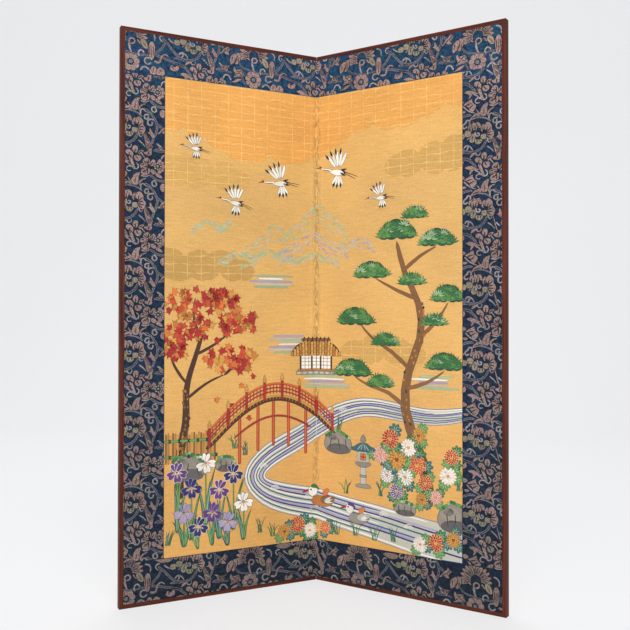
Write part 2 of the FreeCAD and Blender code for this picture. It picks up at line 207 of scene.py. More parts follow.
def sweep_backdrop():
    """Sweep a floor line back, round a quarter turn and up into the wall behind."""
    sweep = bmesh.new()
    line = [sweep.edges.new([sweep.verts.new((x, FLOOR_FRONT, 0)) for x in (-3.0, 3.0)])]
    floor = bmesh.ops.extrude_edge_only(sweep, edges=line)["geom"]
    moved = [part for part in floor if isinstance(part, bmesh.types.BMVert)]
    bmesh.ops.translate(sweep, verts=moved, vec=(0, FLOOR_BACK - FLOOR_FRONT, 0))
    line = [part for part in floor if isinstance(part, bmesh.types.BMEdge)]
    bend = bmesh.ops.spin(sweep, geom=line, cent=(0, FLOOR_BACK, BEND_RADIUS), axis=(1, 0, 0),
                          angle=math.pi / 2, steps=16, use_merge=False)["geom_last"]
    line = [part for part in bend if isinstance(part, bmesh.types.BMEdge)]
    wall = bmesh.ops.extrude_edge_only(sweep, edges=line)["geom"]
    moved = [part for part in wall if isinstance(part, bmesh.types.BMVert)]
    bmesh.ops.translate(sweep, verts=moved, vec=(0, 0, WALL_HEIGHT))
    mesh = bpy.data.meshes.new("backdrop")
    sweep.to_mesh(mesh)
    sweep.free()
    for polygon in mesh.polygons:
        polygon.use_smooth = True
    return add_object("backdrop", mesh)


def area_lamp(name, place, target, size, power):
    """Hang a square soft lamp at a place and aim it."""
    data = bpy.data.lights.new(name, "AREA")
    data.size = size
    data.energy = power
    lamp = bpy.data.objects.new(name, data)
    lamp.location = place
    lamp.rotation_euler = (Vector(target) - Vector(place)).to_track_quat("-Z", "Y").to_euler()
    bpy.context.scene.collection.objects.link(lamp)
    return lamp


backdrop = sweep_backdrop()
print("the backdrop has", len(backdrop.data.polygons), "faces")

# %% [markdown]
# ## The backdrop's paper and the lamps
# Seen by the camera or in a shine the sheet glows a little, so it stays pale up to its corners. To
# every other ray it is plain matt paper, and so it lights the screen no more than real paper would.

# %% Paper and lamps
paper = bpy.data.materials.new("backdrop_paper")
paper.use_nodes = True
tree = paper.node_tree
seen_from = node(tree, "ShaderNodeLightPath")
direct = node(tree, "ShaderNodeMath", {0: seen_from.outputs["Is Camera Ray"],
                                       1: seen_from.outputs["Is Glossy Ray"]}, operation="ADD")
seen = node(tree, "ShaderNodeMath", {0: direct.outputs[0], 1: seen_from.outputs["Is Transmission Ray"]},
            operation="ADD")
lifted = node(tree, "ShaderNodeMath", {0: seen.outputs[0], 1: 0.62}, operation="MULTIPLY")
pale = node(tree, "ShaderNodeEmission", {"Color": colour(248, 248, 250), "Strength": 1.0})
sheet_shader = tree.nodes["Principled BSDF"]
sheet_shader.inputs["Base Color"].default_value = colour(240, 240, 240)
sheet_shader.inputs["Roughness"].default_value = 0.95
sheet_shader.inputs["Specular IOR Level"].default_value = 0.1
both = node(tree, "ShaderNodeMixShader", {0: lifted.outputs[0], 1: sheet_shader.outputs[0],
                                          2: pale.outputs[0]})
tree.links.new(both.outputs[0], tree.nodes["Material Output"].inputs["Surface"])
backdrop.data.materials.append(paper)

area_lamp("lamp_above", (0.3, -1.7, 1.7), (0, 0, 0.32), 1.6, 28.4)
area_lamp("lamp_left", (-1.1, -1.8, 0.8), (0, 0, 0.3), 1.3, 10.5)
area_lamp("lamp_behind", (-0.3, 1.1, 1.5), (0, 0, 0.3), 1.2, 9)
world = bpy.data.worlds.new("studio")
world.use_nodes = True
world.node_tree.nodes["Background"].inputs["Color"].default_value = (0.94, 0.97, 1.0, 1)
world.node_tree.nodes["Background"].inputs["Strength"].default_value = 0.46
bpy.context.scene.world = world
bpy.context.scene.view_settings.view_transform = "Standard"
print("the studio has", len(bpy.data.lights), "lamps")

# %% [markdown]
# ## Thread colours
# A brocade gets its picture from coloured wefts that float over the ground weave. Each patch of floats
# keeps its thread's colour in a colour attribute of its mesh, so one material can weave them all, and
# no picture file is needed.

# %% Thread colours
THREADS = {
    "rose": (162, 130, 121), "olive": (154, 136, 114), "pale": (162, 146, 142), "copper": (110, 80, 68),
    "stem": (124, 115, 122), "stem_line": (42, 44, 60), "navy": (16, 20, 34), "white": (240, 234, 222),
    "blush": (230, 186, 170), "red": (176, 36, 34), "vermilion": (200, 70, 42), "orange": (220, 118, 52),
    "gold": (212, 156, 70), "pale_gold": (246, 208, 132), "amber": (190, 122, 52), "bark": (134, 90, 48),
    "umber": (74, 42, 26), "ink": (38, 28, 36), "green": (52, 116, 58), "leaf": (98, 152, 76),
    "deep_green": (26, 76, 48), "pale_green": (156, 188, 140), "teal": (48, 104, 110), "blue": (56, 82, 148),
    "indigo": (34, 38, 98), "purple": (98, 56, 122), "lavender": (166, 154, 184), "haze": (188, 186, 172),
    "stone": (148, 138, 126), "slate": (96, 92, 90), "khaki": (208, 162, 88), "mist_orange": (235, 168, 82),
}


def dyed(thread, unevenness, draw):
    """Give a thread's colour, a little lighter or darker with each patch."""
    shade = 1 + draw.uniform(-unevenness, unevenness)
    red, green, blue, _ = colour(*THREADS[thread])
    return (red * shade, green * shade, blue * shade, 1.0)


print(len(THREADS), "thread colours")

# %% [markdown]
# ## Outlines
# Every leaf and petal starts as a few corner points. Cutting each side in two and then smoothing the
# corners by half is the rule of a cubic B-spline, so two rounds, or one for the finest leaves, turn a
# rough corner outline into a drawn curve. The helpers below only give those corners, in millimetres,
# with the tip pointing up.

# %% Corner points of petals, leaves and ribbons
PETAL_SHARES = ((0, 0), (0.3, 0.06), (0.56, 0.5), (0.46, 0.94), (0, 1.13))
LEAF_SHARES = ((0, 0), (0.36, 0.16), (0.56, 0.46), (0.26, 0.84), (0.03, 1.06), (0, 1.1))
NOTCHED_SHARES = ((0, 0), (0.34, 0.2), (0.62, 0.72), (0.36, 1.16), (0, 0.88))
ROUND_SHARES = ((0, -0.04), (0.42, 0.02), (0.6, 0.5), (0.42, 0.98), (0, 1.04))


def symmetric(shares, length, width):
    """Draw both sides of an outline from the shares of its right side."""
    right_side = [(across * width, along * length) for across, along in shares]
    left_side = [(-across, along) for across, along in reversed(right_side) if across > 0]
    return right_side + left_side


def direction_at(spots, step):
    """Give a path's direction at one of its points."""
    return (spots[min(step + 1, len(spots) - 1)] - spots[max(step - 1, 0)]).normalized()


def ribbon(path, width, end_width=None):
    """Draw a ribbon along a path, which may taper towards its end."""
    spots = [Vector(spot) for spot in path]
    end_width = width if end_width is None else end_width
    right_side, left_side = [], []
    for step, spot in enumerate(spots):
        along = direction_at(spots, step)
        half = (width + (end_width - width) * step / (len(spots) - 1)) / 2
        square = Vector((along.y, -along.x)) * half
        reach = along * half * ((step == len(spots) - 1) - (step == 0))
        right_side.append(spot + square + reach)
        left_side.append(spot - square + reach)
    return [tuple(spot) for spot in right_side + left_side[::-1]]


def heading(turn, reach=1.0):
    """Give the point at a reach in a direction, clockwise from straight up in degrees."""
    return (reach * math.sin(math.radians(turn)), reach * math.cos(math.radians(turn)))


def arc(centre, radius, start, end, steps):
    """Give points along an arc."""
    spots = []
    for step in range(steps + 1):
        x, z = heading(start + (end - start) * step / steps, radius)
        spots.append((centre[0] + x, centre[1] + z))
    return spots


def patch(outline, thread, edge=None, layer=0, rim=0.16):
    """Describe one patch of floats: outline, thread, thread of its edge, layer and width of its edge."""
    return [(outline, thread, edge or thread, layer, rim)]


def placed(patches, at=(0, 0), turn=0.0, size=1.0, layer=0):
    """Scale patches, turn them clockwise, move them and lift them by some layers."""
    sine, cosine = math.sin(math.radians(turn)), math.cos(math.radians(turn))
    moved = []
    for outline, thread, edge, own_layer, rim in patches:
        spots = [(size * x, size * z) for x, z in outline]
        spots = [(at[0] + x * cosine + z * sine, at[1] + z * cosine - x * sine) for x, z in spots]
        moved.append((spots, thread, edge, own_layer + layer, rim))
    return moved


def ring_of(outline, turns, reach, thread, centre=(0, 0), layer=0, **look):
    """Set one outline at each of the turns, at a reach from the centre and pointing away from it."""
    ring = []
    for step, turn in enumerate(turns):
        x, z = heading(turn, reach)
        own_layer = layer + (step % 3 if step + 1 < len(turns) else 3)
        ring += placed(patch(outline, thread, **look), (centre[0] + x, centre[1] + z), turn, layer=own_layer)
    return ring


print("a petal has", len(symmetric(PETAL_SHARES, 1, 1)), "corners")

# %% [markdown]
# ## Weaving the patches
# The patches are sewn flat into one bmesh. There they are rounded, trimmed where the cloth was cut and
# cut through beside the fold. An inset then gives each patch a narrow edge that slopes down to its
# layer. With the layers, the pads stand from a few hundredths to half a millimetre proud, as floats do.

# %% Sew, round, trim and raise the patches
LAYER_STEP = 0.035 * MM
PAD_RISE = 0.03 * MM
ACROSS = Vector((1, 0, 0))
UP = Vector((0, 0, 1))
FOLD_CUTS = [ARC_ACROSS * step / 3 for step in range(-3, 4)]
BLEND_REACH = 1.6 * MM
SNAP = 1e-7
SLOPE_MARK = -1.0


def cut(cloth, places, direction):
    """Cut a flat cloth along lines square to a direction."""
    for place in places:
        bmesh.ops.bisect_plane(cloth, geom=[*cloth.verts, *cloth.edges, *cloth.faces], dist=SNAP,
                               plane_co=direction * place, plane_no=direction)


def trim(cloth, left, right, low, high):
    """Cut away all that reaches past a rectangle."""
    for place, direction in ((left, -ACROSS), (right, ACROSS), (low, -UP), (high, UP)):
        bmesh.ops.bisect_plane(cloth, geom=[*cloth.verts, *cloth.edges, *cloth.faces], dist=SNAP,
                               plane_co=ACROSS * abs(direction.x) * place + UP * abs(direction.z) * place,
                               plane_no=direction, clear_outer=True)


def sew(patches, unevenness=0.12, seed=1):
    """Lay patches flat in a bmesh, each with its thread's colour."""
    draw = random.Random(seed)
    floats = bmesh.new()
    thread_of = floats.loops.layers.float_color.new("thread")
    edge_of = floats.loops.layers.float_color.new("edge")
    rim_of = floats.faces.layers.float.new("rim")
    for outline, thread, edge, layer, rim in patches:
        stand = -layer * LAYER_STEP
        corners = [floats.verts.new((x * MM, stand, z * MM)) for x, z in outline]
        face = floats.faces.new(corners)
        face[rim_of] = rim
        fill, border = dyed(thread, unevenness, draw), dyed(edge, unevenness, draw)
        for corner in face.loops:
            corner[thread_of], corner[edge_of] = fill, border
    floats.normal_update()
    bmesh.ops.reverse_faces(floats, faces=[face for face in floats.faces if face.normal.y > 0])
    return floats


def round_outlines(floats, rounds=2):
    """Turn corner outlines into smooth ones."""
    for _ in range(rounds):
        bmesh.ops.subdivide_edges(floats, edges=floats.edges[:], cuts=1)
        bmesh.ops.smooth_vert(floats, verts=floats.verts[:], factor=0.5,
                              use_axis_x=True, use_axis_y=True, use_axis_z=True)


def raise_pads(floats):
    """Give each patch its sloping edge and its own edge colour."""
    rim_of = floats.faces.layers.float["rim"]
    thread_of = floats.loops.layers.float_color["thread"]
    edge_of = floats.loops.layers.float_color["edge"]
    for rim in sorted({round(face[rim_of], 3) for face in floats.faces}):
        faces = [face for face in floats.faces if round(face[rim_of], 3) == rim]
        slopes = bmesh.ops.inset_region(floats, faces=faces, use_boundary=True, use_even_offset=True,
                                        thickness=rim * MM, depth=PAD_RISE)["faces"]
        for face in slopes:
            face[rim_of] = SLOPE_MARK
            for corner in face.loops:
                corner[thread_of] = corner[edge_of]
    floats.loops.layers.float_color.remove(edge_of)
    floats.faces.layers.float.remove(floats.faces.layers.float["rim"])


print("a layer of floats is", round(LAYER_STEP / MM, 3), "mm high")

# %% [markdown]
# ## Hanging a cloth
# Each flat cloth becomes one piece. Its flat places stay with it as the UV map, its points are carried
# onto the screen, and it rides on its panel. A cloth over the fold rides on both and bends in between.

# %% Hang the floats and the grounds
def mark_flat_places(cloth):
    """Keep each point's flat place, in metres, as the UV map that the weaves follow."""
    flat = cloth.loops.layers.uv.new("flat")
    for face in cloth.faces:
        for corner in face.loops:
            corner[flat].uv = corner.vert.co.xz


def hang(name, cloth, depth, finish, creased=False):
    """Carry a flat cloth onto the screen as a finished piece that bends at the fold."""
    mark_flat_places(cloth)
    for vertex in cloth.verts:
        across, stand, up = vertex.co
        lift = creases(across, up) if creased else 0.0
        vertex.co = on_cloth(across, depth + stand - lift, up)
    cloth.normal_update()
    mesh = bpy.data.meshes.new(name)
    cloth.to_mesh(mesh)
    cloth.free()
    mesh.materials.append(finish)
    piece = add_object(name, mesh)
    sides = {vertex.co.x > 0 for vertex in mesh.vertices if abs(vertex.co.x) > BLEND_REACH}
    if sides == {True}:
        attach(piece, "right_panel")
    elif sides == {False}:
        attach(piece, "left_panel")
    else:
        start, end = (tuple(on_cloth(side * BLEND_REACH, depth, 0)) for side in (-1, 1))
        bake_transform(piece, "left_panel", "right_panel", start=start, end=end)
    print(name, len(mesh.polygons), "faces")
    return piece


def float_relief(name, patches, limits, depth, finish, seed, creased=False, rounds=2):
    """Make the raised floats of one cloth from their patches."""
    floats = sew(patches, seed=seed)
    round_outlines(floats, rounds)
    trim(floats, *limits)
    if limits[0] < 0 < limits[1]:
        cut(floats, FOLD_CUTS, ACROSS)
        if creased:
            crease_cuts = [side * step * MM for side in (-1, 1) for step in range(1, 12)]
            cut(floats, crease_cuts, ACROSS)
    raise_pads(floats)
    return hang(name, floats, depth, finish, creased)


def ground_cloth(name, limits, depth, thickness, finish, columns=(), rows=(), creased=False):
    """Make a plain stretched cloth with its real thickness."""
    left, right, low, high = limits
    cloth = bmesh.new()
    centre = ACROSS * (left + right) / 2 + UP * (low + high) / 2
    place = (Matrix.Translation(centre) @ Matrix.Rotation(math.pi / 2, 4, "X")
             @ Matrix.Diagonal((right - left, high - low, 1, 1)))
    bmesh.ops.create_grid(cloth, x_segments=1, y_segments=1, size=0.5, matrix=place)
    if left < 0 < right:
        cut(cloth, FOLD_CUTS, ACROSS)
    cut(cloth, columns, ACROSS)
    cut(cloth, rows, UP)
    piece = hang(name, cloth, depth, finish, creased)
    body = piece.modifiers.new("thickness", "SOLIDIFY")
    body.thickness = thickness
    body.offset = -1
    return piece


print("the cloths bend within", round(BLEND_REACH / MM, 2), "mm of the fold")

# %% [markdown]
# ## Weaves as materials
# All cloths read the flat UV map, so a weft runs level on both panels and bends round the fold with
# its cloth. Fine ribs come from a wave texture, and uneven wefts from a noise that is stretched along
# the weft. The colour comes from the thread attribute or from the ground's own dye.

# %% Weave helpers
WEFT_PITCH = 0.45 * MM
WARP_PITCH = 0.53 * MM
WAVE_UNIT = 2 * math.pi / 20
PLAIN = (1, 1, 1, 1)


def new_finish(name, roughness, **values):
    """Start a material and set what is the same all over it."""
    finish = bpy.data.materials.new(name)
    finish.use_nodes = True
    shader = finish.node_tree.nodes["Principled BSDF"]
    shader.inputs["Roughness"].default_value = roughness
    for socket, amount in values.items():
        shader.inputs[socket.replace("_", " ")].default_value = amount
    return finish, finish.node_tree, shader


def flat_place(tree, across=1.0, up=1.0):
    """Read the flat UV map, scaled each way."""
    flat = node(tree, "ShaderNodeUVMap", uv_map="flat").outputs["UV"]
    return node(tree, "ShaderNodeMapping", {"Vector": flat, "Scale": (across, up, 1)}).outputs["Vector"]


def blend_colours(tree, share, first, second, mode="MIX"):
    """Mix two colours."""
    mixer = node(tree, "ShaderNodeMix", {0: share, 6: first, 7: second}, data_type="RGBA", blend_type=mode)
    return mixer.outputs[2]


def multiplied(tree, tone, shade):
    """Multiply a colour by another one or by a brightness."""
    return blend_colours(tree, 1.0, tone, shade, "MULTIPLY")


def spread(tree, source, low, high, new_low=0.0, new_high=1.0):
    """Map one range of numbers onto another."""
    ranges = {"Value": source, "From Min": low, "From Max": high, "To Min": new_low, "To Max": new_high}
    return node(tree, "ShaderNodeMapRange", ranges).outputs["Result"]


def product(tree, first, second, how="MULTIPLY"):
    """Combine two numbers."""
    return node(tree, "ShaderNodeMath", {0: first, 1: second}, operation=how).outputs[0]


def noise(tree, place, scale, detail=2.0, roughness=0.5):
    """Give a soft random value around a half, turned so that the noise's own cells don't line up."""
    turned = node(tree, "ShaderNodeMapping", {"Vector": place, "Rotation": (0.6, 0.4, 0.5)}).outputs["Vector"]
    inputs = {"Vector": turned, "Scale": scale, "Detail": detail, "Roughness": roughness}
    return node(tree, "ShaderNodeTexNoise", inputs).outputs["Fac"]


print("warp every", WARP_PITCH / MM, "mm")

# %% [markdown]
# ## Uneven threads and ribs
# No weft is quite like the next, so each weave gets streaks along the weft, a fine grain and soft clouds.
# The ribs are a bump, because they are finer than any mesh that the screen could carry.

# %% Threads, ribs and the floats' finish
def flat_noise(tree, scale, detail=2.0):
    """Give a soft random value over the flat cloth."""
    return noise(tree, flat_place(tree), scale, detail)


def flat_part(tree, side):
    """Give how far across, X, or up the flat cloth, Y, a point lies."""
    return node(tree, "ShaderNodeSeparateXYZ", {"Vector": flat_place(tree)}).outputs[side]


def uneven_wefts(tree, amount):
    """Give a brightness near 1 that changes from weft to weft and in soft cloudy patches."""
    streaks = noise(tree, flat_place(tree, 70, 700), 1.0, 2.0)
    grain = flat_noise(tree, 600.0, 1.0)
    clouds = flat_noise(tree, 14.0, 3.0)
    both = product(tree, product(tree, streaks, grain, "ADD"), clouds, "ADD")
    return spread(tree, both, 0.9, 2.1, 1 - amount, 1 + amount)


def height_colours(tree, stops, low, high):
    """Change the colour slowly with the height on the cloth, between listed stops; on the navy ground this is
    painted light and shade.
    """
    up = spread(tree, flat_part(tree, "Y"), low, high)
    ramp = node(tree, "ShaderNodeValToRGB", {"Fac": up})
    steps = ramp.color_ramp.elements
    for step, (share, tone) in enumerate(stops):
        stop = steps[step] if step < 2 else steps.new(share)
        stop.position = share
        stop.color = colour(*tone)
    return ramp.outputs["Color"]


def ribs(tree, shader, depth, warp_share=0.4, over=None):
    """Raise the ribs of wefts and warps, over the wrinkles of the cloth if there are any."""
    weft = node(tree, "ShaderNodeTexWave", {"Vector": flat_place(tree), "Scale": WAVE_UNIT / WEFT_PITCH},
                bands_direction="Y").outputs["Fac"]
    warp = node(tree, "ShaderNodeTexWave", {"Vector": flat_place(tree), "Scale": WAVE_UNIT / WARP_PITCH},
                bands_direction="X").outputs["Fac"]
    height = product(tree, weft, product(tree, warp, warp_share), "ADD")
    bump = node(tree, "ShaderNodeBump", {"Height": height, "Distance": depth, "Strength": 0.6})
    if over is not None:
        tree.links.new(over, bump.inputs["Normal"])
    tree.links.new(bump.outputs["Normal"], shader.inputs["Normal"])


def floats_finish(name, unevenness, shot=(PLAIN, PLAIN), light_by_height=(PLAIN, PLAIN), fleck=1.0, **values):
    """Weave float threads, shot with two tints, with painted shade at the foot and painted light at the top,
    and flecked by the ground.
    """
    finish, tree, shader = new_finish(name, 0.52, **values)
    thread = node(tree, "ShaderNodeVertexColor", layer_name="thread").outputs["Color"]
    spots = spread(tree, flat_noise(tree, 330.0, 1.0), 0.4, 0.6)
    thread_tone = multiplied(tree, thread, blend_colours(tree, spots, *shot))
    # Painted shade towards the foot and painted light towards the top, blended by height.
    up = spread(tree, flat_part(tree, "Y"), 0.0, band_high.z)
    thread_tone = multiplied(tree, thread_tone, blend_colours(tree, up, *light_by_height))
    flecks = spread(tree, flat_noise(tree, 900.0, 2.0), 0.4, 0.52, fleck, 1.0)
    shade = product(tree, uneven_wefts(tree, unevenness), flecks)
    tree.links.new(multiplied(tree, thread_tone, shade), shader.inputs["Base Color"])
    ribs(tree, shader, 0.05 * MM, 0.15)
    return finish


print("weft every", WEFT_PITCH / MM, "mm")

# %% [markdown]
# ## Border cloth
# The border is a navy brocade with a peony arabesque, a common old pattern for mountings. Its ground
# is a dark teal and indigo twill. The bands across the top and foot are each one piece over the fold,
# and the side strips butt between them, all cut with the pattern upright.

# %% The navy ground
border_ground, tree, shader = new_finish("border_ground", 0.7, Specular_IOR_Level=0.2)
INDIGO_TINT, TEAL_TINT = (1.2, 0.72, 0.92, 1), (0.8, 1.12, 0.96, 1)
# Painted light and shade: the navy is darker towards the foot and brighter in the top band, as if lit from
# above.
NAVY_PAINTED_LIGHT_BY_HEIGHT = ((0.0, (24, 40, 54)), (0.14, (24, 46, 67)), (0.7, (24, 48, 73)), (0.87, (24, 52, 78)),
                (0.93, (26, 68, 98)), (1.0, (28, 70, 100)))
navy = height_colours(tree, NAVY_PAINTED_LIGHT_BY_HEIGHT, foot_band_low.z, band_high.z)
patches_of_teal = spread(tree, flat_noise(tree, 190.0, 2.0), 0.4, 0.62)
navy = multiplied(tree, navy, blend_colours(tree, patches_of_teal, INDIGO_TINT, TEAL_TINT))
depths = flat_noise(tree, 300.0, 3.0)
shade = product(tree, uneven_wefts(tree, 0.4), spread(tree, depths, 0.36, 0.6, 0.42, 1.16))
tree.links.new(multiplied(tree, navy, shade), shader.inputs["Base Color"])
ribs(tree, shader, 0.06 * MM, 0.8)

band_reach = band_high.x
band_depth, band_thickness = band_low.y, band_high.y - band_low.y
STRIPS = {
    "top_band": (-band_reach, band_reach, band_low.z, band_high.z),
    "bottom_band": (-band_reach, band_reach, foot_band_low.z, foot_band_high.z),
    "left_strip": (-side_high.x, -side_low.x, side_low.z, side_high.z),
    "right_strip": (side_low.x, side_high.x, side_low.z, side_high.z),
}
STANDS_FOR = {
    "top_band": ("left_top_border", "right_top_border"),
    "bottom_band": ("left_bottom_border", "right_bottom_border"),
    "left_strip": ("left_side_border",), "right_strip": ("right_side_border",),
}
strips = {}
for name, limits in STRIPS.items():
    strips[name] = ground_cloth(name, limits, band_depth, band_thickness, border_ground)
    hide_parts(*STANDS_FOR[name])

# %% [markdown]
# ## The arabesque's flowers
# One repeat of the pattern is 138 mm wide and 78.6 mm high. It holds two kinds of peony, one drawn as a
# pair of heads and one as a fan, an open flower, a pansy, buds, forked stems and hooked curls. All its
# places count from the heart of the paired peony. Narrow slits in the ground's navy part the petals.

# %% Petals, lines and stems
REPEAT_ACROSS, REPEAT_UP = 138.0, 78.6
NAVY_RIM = 0.55


def pushed_out(outline):
    """Push corners outwards, so that the smoothed curve passes through the drawn points."""
    corners = []
    for step, (x, z) in enumerate(outline):
        before, after = outline[step - 1], outline[(step + 1) % len(outline)]
        corners.append((1.5 * x - (before[0] + after[0]) / 4, 1.5 * z - (before[1] + after[1]) / 4))
    return corners


def petals(*outlines, thread="rose", layer=0):
    """Give drawn outlines a narrow navy edge, each on a layer of its own so that none melt together."""
    drawn = []
    for step, outline in enumerate(outlines):
        drawn += patch(pushed_out(outline), thread, "navy", layer + step % 3, NAVY_RIM)
    return drawn


def discs(*spots, thread="olive", layer=3):
    """Draw round petals and berries from their centre and width."""
    rounds = []
    for across, up, wide in spots:
        rounds += placed(petals(symmetric(ROUND_SHARES, wide, wide), thread=thread, layer=layer),
                         (across, up - wide / 2))
    return rounds


def lines(*paths, width=2.3, end_width=None, thread="pale", layer=2):
    """Draw curls, hooks and thin leaves along their paths."""
    drawn = []
    for path in paths:
        drawn += patch(ribbon(path, width, end_width), thread, "navy", layer, 0.2)
    return drawn


def slits(*paths, width=1.6, thread="navy", layer=6):
    """Draw the short dark lines that part a petal."""
    drawn = []
    for path in paths:
        drawn += patch(ribbon(path, width, width * 0.5), thread, layer=layer, rim=0.08)
    return drawn


def stems(*paths, width=3.0):
    """Draw stems as two threads side by side, with a dark line between them."""
    return (lines(*paths, width=width, thread="stem", layer=0)
            + slits(*paths, width=0.9, thread="stem_line", layer=1))


print("one repeat is", REPEAT_ACROSS, "by", REPEAT_UP, "mm")

# %% [markdown]
# ## The paired peony
# Its left head is toothed like a comb, its right head opens as a fan, and round petals hang below. A
# three-lobed leaf crowns it, and hooked curls grow on both sides.

# %% Draw the paired peony
def twin_peony():
    """Draw a peony as a pair of heads over round petals."""
    flower = petals(
        [(-15, 3), (-14, 7.8), (-10.6, 8.4), (-9, 12), (-7.4, 8.8), (-3.2, 9.6), (-0.4, 6), (-0.8, 1.8),
         (-3.4, 3), (-5.6, -0.4), (-8, 1), (-10.2, -0.8), (-12, 1.4)],
        [(-0.8, 0.6), (0, 4.8), (2.6, 6.8), (4.2, 4.6), (3.4, 0.8), (1.6, -1.8)],
        [(3.4, 0.4), (3.6, 5.6), (6.8, 8.2), (10, 6.4), (12, 3), (11.8, 0), (14, -2.6), (14, -6.4),
         (12.2, -9.8), (9.2, -11), (6, -8.4), (4.8, -4.8), (6.2, -1.4)])
    flower += petals(
        [(-11.2, -2.8), (-7.2, -3.2), (-6, -8), (-8.8, -11.8), (-13.2, -9.8)],
        [(-6.8, -7.8), (-3, -8.8), (0.6, -7.8), (1.2, -11), (-1.6, -14), (-5.2, -13.8), (-7.2, -11)],
        thread="olive", layer=1)
    flower += discs((2.4, -6.6, 5.8), (-14.6, -1.8, 6.8), (-21.4, -4, 6.2))
    flower += slits([(-9.2, -4.6), (-9.8, -9.4)], [(-4.4, -9.6), (-4.6, -12.4)],
                    [(-1.4, -9.6), (-1.2, -12.2)],
                    [(-10.8, 5.6), (-9.2, 9.6)], [(-5.6, 7.4), (-5, 5.2)], width=1.2)
    flower += slits([(-12.6, 1), (-12.2, 5.2)], [(-9.6, -0.6), (-9.2, 4.4)], [(-6.8, 0), (-6.6, 5.2)],
                    [(-3.9, 1.4), (-3.6, 5.8)], [(2.2, -1), (1.6, 3)], [(5.6, -1.4), (6.8, 3.4)],
                    [(7, -1.6), (10.4, 1.8)], [(5.8, -3.6), (11.4, -2.2)], [(5.8, -5.2), (11.6, -6)],
                    [(6, -6.8), (10, -9.4)])
    flower += lines([(-6.8, -1.4), (-6.4, -4.4), (-4.2, -5.8), (-2, -4.6), (-2.2, -2.6), (-3.8, -2.4)])
    flower += lines([(6.2, -8.2), (7.2, -12.4), (9.2, -13.8), (10.8, -11.4)],
                    width=2.2, end_width=1.2, layer=4)
    return flower + lines([(-15.2, -7.8), (-12.8, -5)], width=2.2, thread="stem")


def crown_leaf():
    """Draw the three-lobed leaf over the peony, with a thin leaf between them."""
    leaf = petals(
        [(-13.4, 10.8), (-12.6, 13), (-9.4, 16.8), (-4.4, 18.8), (-0.6, 18), (0, 15.4), (-4, 13.2),
         (-8.4, 12.2)],
        [(-0.4, 15.2), (-1.6, 19.4), (0.6, 24.6), (3.8, 27.4), (8.4, 28), (6.6, 23), (7, 18.4), (4.8, 14.6)],
        [(6, 16), (7.4, 19.8), (11, 22.2), (15.4, 22.6), (12, 19.6), (9.2, 16.4), (8, 12.8)])
    leaf += slits([(2.4, 16.8), (3.2, 22.4)], width=1.7, thread="copper", layer=5)
    leaf += lines([(-1.2, 17), (-3.4, 19.4), (-5.4, 22.4)], width=2.5, end_width=0.9, thread="rose", layer=4)
    leaf += lines([(8.4, 10.4), (8.2, 14), (9.6, 16.4), (12, 16.6), (14, 13.8)],
                  width=2.2, end_width=1.7, layer=4)
    leaf += slits([(-3.4, 15.8), (-10.4, 13.4)], [(8.4, 16.8), (12.2, 21)], width=1.3)
    return leaf + lines([(-6, 14), (-1, 13.8), (3.4, 12.8), (7, 11), (10, 8.6)], width=2.0, thread="stem")


def curls_beside():
    """Draw the hooked curls on both sides of the peony."""
    pair = lines([(-16.2, 5.2), (-18, 3.6), (-20.2, 4.8), (-20.4, 7.4), (-18.2, 8.8), (-16.6, 10),
                  (-16.2, 12), (-14, 12.6), (-12, 10.6), (-13, 8.6)],
                 [(17.1, 10.9), (14.4, 11.4), (12.6, 9.4), (12.8, 7), (14.8, 5.8), (17, 6.8), (16.6, 8.8)],
                 [(22.4, 6.2), (19, 6.8), (16, 4.6), (16, 1.2), (18.6, -0.6), (21.4, 0.8), (21, 3)],
                 [(24.4, 20.2), (21, 19.8), (20, 16.8), (21.8, 14.2), (24.8, 14.4), (26, 17.2), (24.2, 18.6)])
    return pair + lines([(13.6, 14.6), (17.6, 13.4), (21, 10.6)], width=1.7, thread="stem")


peony_patches = twin_peony() + crown_leaf() + curls_beside()
print("the paired peony has", len(peony_patches), "patches")

# %% [markdown]
# ## Its stalk and leaves
# Stems are two threads side by side with a dark line between them. Hooked tips grow from them, and the
# leaves lie over them, so that no stem cuts through a leaf.

